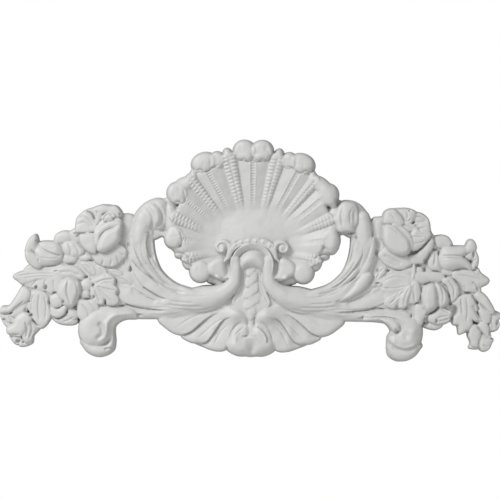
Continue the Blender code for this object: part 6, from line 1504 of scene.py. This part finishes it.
onlay = bpy.data.objects.new("onlay_casting", casting(grid))
bpy.context.scene.collection.objects.link(onlay)
onlay.data.shade_smooth()
onlay.data.set_sharp_from_angle(angle=SHARP_ANGLE)
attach(onlay, "root")
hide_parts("onlay")
print("The casting has", len(onlay.data.polygons), "faces")

# %% [markdown]
# ## Painted shade in the hollows
# The colour is painted a little darker in hollows, as shade, because less light gets in there. How deep
# each point lies below its surroundings is worked out from the height field, and kept as a value on every
# vertex.

# %% Measure the hollows
# How far round a point its surroundings reach, and the depth of a full hollow, in drawing units
HOLLOW_REACH = 2.5
FULL_HOLLOW = 3.5
# Points that lie closer than this to the back, in metres, are the back itself
BACK_MARGIN = 0.0005


def painted_hollow_shade(mesh):
    """For each vertex, how much painted shade its colour gets: from 0 on open ground to 1 in a narrow
    hollow.
    """
    spots = np.empty(len(mesh.vertices) * 3)
    mesh.vertices.foreach_get("co", spots)
    spots = spots.reshape(-1, 3)
    around = smoothed(np.maximum(work.height, 0), HOLLOW_REACH / STEP)
    sunk = np.clip((around - work.height) / FULL_HOLLOW, 0, 1)
    column = np.clip(np.rint((spots[:, 0] / UNIT - DRAWN_LEFT) / STEP), 0, columns).astype(int)
    row = np.clip(np.rint((spots[:, 2] / UNIT - DRAWN_BOTTOM) / STEP), 0, rows).astype(int)
    return np.where(spots[:, 1] < -BACK_MARGIN, sunk[row, column], 0)


# Painted shade: how deep each vertex lies in a hollow, kept to darken its colour there
painted_shade_values = painted_hollow_shade(onlay.data)
painted_shade_layer = onlay.data.attributes.new("painted_shade", "FLOAT", "POINT")
painted_shade_layer.data.foreach_set("value", painted_shade_values.astype(np.float32))
print("Mean hollow value", round(float(painted_shade_values.mean()), 3))

# %% [markdown]
# ## Primed polyurethane
# The casting is rigid polyurethane foam with a closed skin, sprayed with white primer in the factory.
# Primer is a matte to satin paint with a faint orange peel. It gives the eye soft, wide highlights and
# very slight changes of gloss.

# %% Colours and a node helper
PRIMER_WHITE = "#C1C1C0"
# The primer white darkened, as painted shade for the hollows
PAINTED_SHADE_IN_HOLLOWS = "#B2B2B1"
FLOOR_WHITE = "#E6E6E4"


def linear(hex_colour):
    """An sRGB hex colour as linear values for a shader."""
    parts = [int(hex_colour[i:i + 2], 16) / 255 for i in (1, 3, 5)]
    return tuple(p / 12.92 if p <= 0.04045 else ((p + 0.055) / 1.055)**2.4 for p in parts) + (1,)


def add_node(tree, kind, inputs=(), links=(), **settings):
    """Adds a node with its settings, fixed input values and incoming links."""
    node = tree.nodes.new(kind)
    for name, value in settings.items():
        setattr(node, name, value)
    for name, value in dict(inputs).items():
        node.inputs[name].default_value = value
    for name, source in dict(links).items():
        tree.links.new(source, node.inputs[name])
    return node


print("Primer white is", [round(v, 3) for v in linear(PRIMER_WHITE)])

# %% The primer
# Orange peel is about 2 mm from bump to bump, and the gloss changes slowly over some centimetres
ORANGE_PEEL_MM = 2.2
PEEL_HEIGHT = 0.0002
PEEL_STRENGTH = 0.25
MOTTLE_MM = 35.0
ROUGHNESS = (0.46, 0.60)
PAINT_IOR = 1.5


def primer():
    """Factory primer on a moulded skin: matte to satin, with painted shade that darkens the hollows."""
    material = bpy.data.materials.new("white_primer_on_polyurethane")
    material.use_nodes = True
    tree = material.node_tree
    shader = tree.nodes["Principled BSDF"]
    shader.inputs["IOR"].default_value = PAINT_IOR
    place = add_node(tree, "ShaderNodeTexCoord")
    mottle = add_node(tree, "ShaderNodeTexNoise", {"Scale": 1000 / MOTTLE_MM, "Detail": 3.0},
                      {"Vector": place.outputs["Object"]})
    peel = add_node(tree, "ShaderNodeTexNoise", {"Scale": 1000 / ORANGE_PEEL_MM, "Detail": 2.0},
                    {"Vector": place.outputs["Object"]})
    gloss = add_node(tree, "ShaderNodeMapRange", {"To Min": ROUGHNESS[0], "To Max": ROUGHNESS[1]},
                     {"Value": mottle.outputs["Fac"]})
    tree.links.new(gloss.outputs["Result"], shader.inputs["Roughness"])
    painted_shade = add_node(tree, "ShaderNodeAttribute", attribute_name="painted_shade")
    # Painted shade: the base colour is mixed towards the darker white where a point lies in a hollow
    painted_shade_mix = add_node(tree, "ShaderNodeMix",
                    {"A": linear(PRIMER_WHITE), "B": linear(PAINTED_SHADE_IN_HOLLOWS)},
                    {"Factor": painted_shade.outputs["Fac"]}, data_type="RGBA")
    tree.links.new(painted_shade_mix.outputs["Result"], shader.inputs["Base Color"])
    bump = add_node(tree, "ShaderNodeBump", {"Strength": PEEL_STRENGTH, "Distance": PEEL_HEIGHT},
                    {"Height": peel.outputs["Fac"]})
    tree.links.new(bump.outputs["Normal"], shader.inputs["Normal"])
    return material


onlay.data.materials.append(primer())
print("Material:", onlay.data.materials[0].name)

# %% [markdown]
# ## Floor, light and camera
# The photograph is a plain studio picture: a white ground, soft light from the upper left and a long lens
# straight in front. The floor lies below the picture. The casting hangs level in the air, as in the
# picture, because in use a wall holds it by its back.

# %% A pale floor
# The floor's side, how far in front of the casting its middle lies, and how far below, in metres
FLOOR_SIDE = 1.4
FLOOR_FORWARD = 0.66
FLOOR_DROP = 0.34
FLOOR_ROUGHNESS = 0.8
bpy.ops.mesh.primitive_plane_add(size=FLOOR_SIDE, location=(0, -FLOOR_FORWARD, -FLOOR_DROP))
floor = bpy.context.active_object
floor.name = "floor"
floor_paint = bpy.data.materials.new("pale_studio_floor")
floor_paint.use_nodes = True
floor_shader = floor_paint.node_tree.nodes["Principled BSDF"]
floor_shader.inputs["Base Color"].default_value = linear(FLOOR_WHITE)
floor_shader.inputs["Roughness"].default_value = FLOOR_ROUGHNESS
floor.data.materials.append(floor_paint)
print("The floor lies", FLOOR_DROP, "m below the casting's middle")

# %% Soft studio light
def softbox(name, place, size, watts):
    """A square area light that faces the middle of the casting."""
    light = bpy.data.lights.new(name, "AREA")
    light.size = size
    light.energy = watts
    lamp = bpy.data.objects.new(name, light)
    lamp.location = place
    x, y, z = (-value for value in place)
    lamp.rotation_euler = (math.atan2(math.hypot(x, y), -z), 0, math.atan2(y, x) - math.pi / 2)
    bpy.context.scene.collection.objects.link(lamp)


softbox("key_upper_left", (-1.7, -1.7, 1.5), size=1.0, watts=62)
softbox("front_fill", (0.5, -2.6, 0.3), size=1.8, watts=14)

# %% White surroundings
# The camera sees pure white behind the casting, and the casting is lit by a weaker white
WHITE = (1, 1, 1, 1)
SURROUND_LIGHT = 0.36
world = bpy.data.worlds.new("white_studio")
world.use_nodes = True
bpy.context.scene.world = world
sky = world.node_tree
seen = sky.nodes["Background"]
seen.inputs["Color"].default_value = WHITE
seen.inputs["Strength"].default_value = 1.0
lit = add_node(sky, "ShaderNodeBackground", {"Color": WHITE, "Strength": SURROUND_LIGHT})
path_kind = add_node(sky, "ShaderNodeLightPath")
choice = add_node(sky, "ShaderNodeMixShader", {}, {"Fac": path_kind.outputs["Is Camera Ray"]})
sky.links.new(lit.outputs["Background"], choice.inputs[1])
sky.links.new(seen.outputs["Background"], choice.inputs[2])
sky.links.new(choice.outputs["Shader"], sky.nodes["World Output"].inputs["Surface"])
bpy.context.scene.view_settings.view_transform = "Standard"
print("The surroundings light the casting with strength", SURROUND_LIGHT)

# %% The camera
# The picture's side, the place in it where the origin shows, and how far the camera is rolled. A drawing
# unit is as long as one pixel of the picture.
PICTURE_SIZE = 500
ORIGIN_PIXEL = (252.0, 262.0)
ROLL = math.radians(0.7)
CAMERA_DISTANCE = 4.0
SENSOR_WIDTH = 36.0
camera_data = bpy.data.cameras.new("camera")
camera = bpy.data.objects.new("camera", camera_data)
bpy.context.scene.collection.objects.link(camera)
bpy.context.scene.camera = camera
across = PICTURE_SIZE / 2 - ORIGIN_PIXEL[0]
down = PICTURE_SIZE / 2 - ORIGIN_PIXEL[1]
c, s = math.cos(ROLL), math.sin(ROLL)
aim = ((c * across + s * down) * UNIT, (s * across - c * down) * UNIT)
camera_data.sensor_width = SENSOR_WIDTH
camera_data.lens = SENSOR_WIDTH * CAMERA_DISTANCE / (PICTURE_SIZE * UNIT)
camera.location = (aim[0], cad_low[1] / 2 - CAMERA_DISTANCE, aim[1])
camera.rotation_euler = (math.pi / 2, -ROLL, 0)
print("The lens is", round(camera_data.lens), "mm at", CAMERA_DISTANCE, "m")
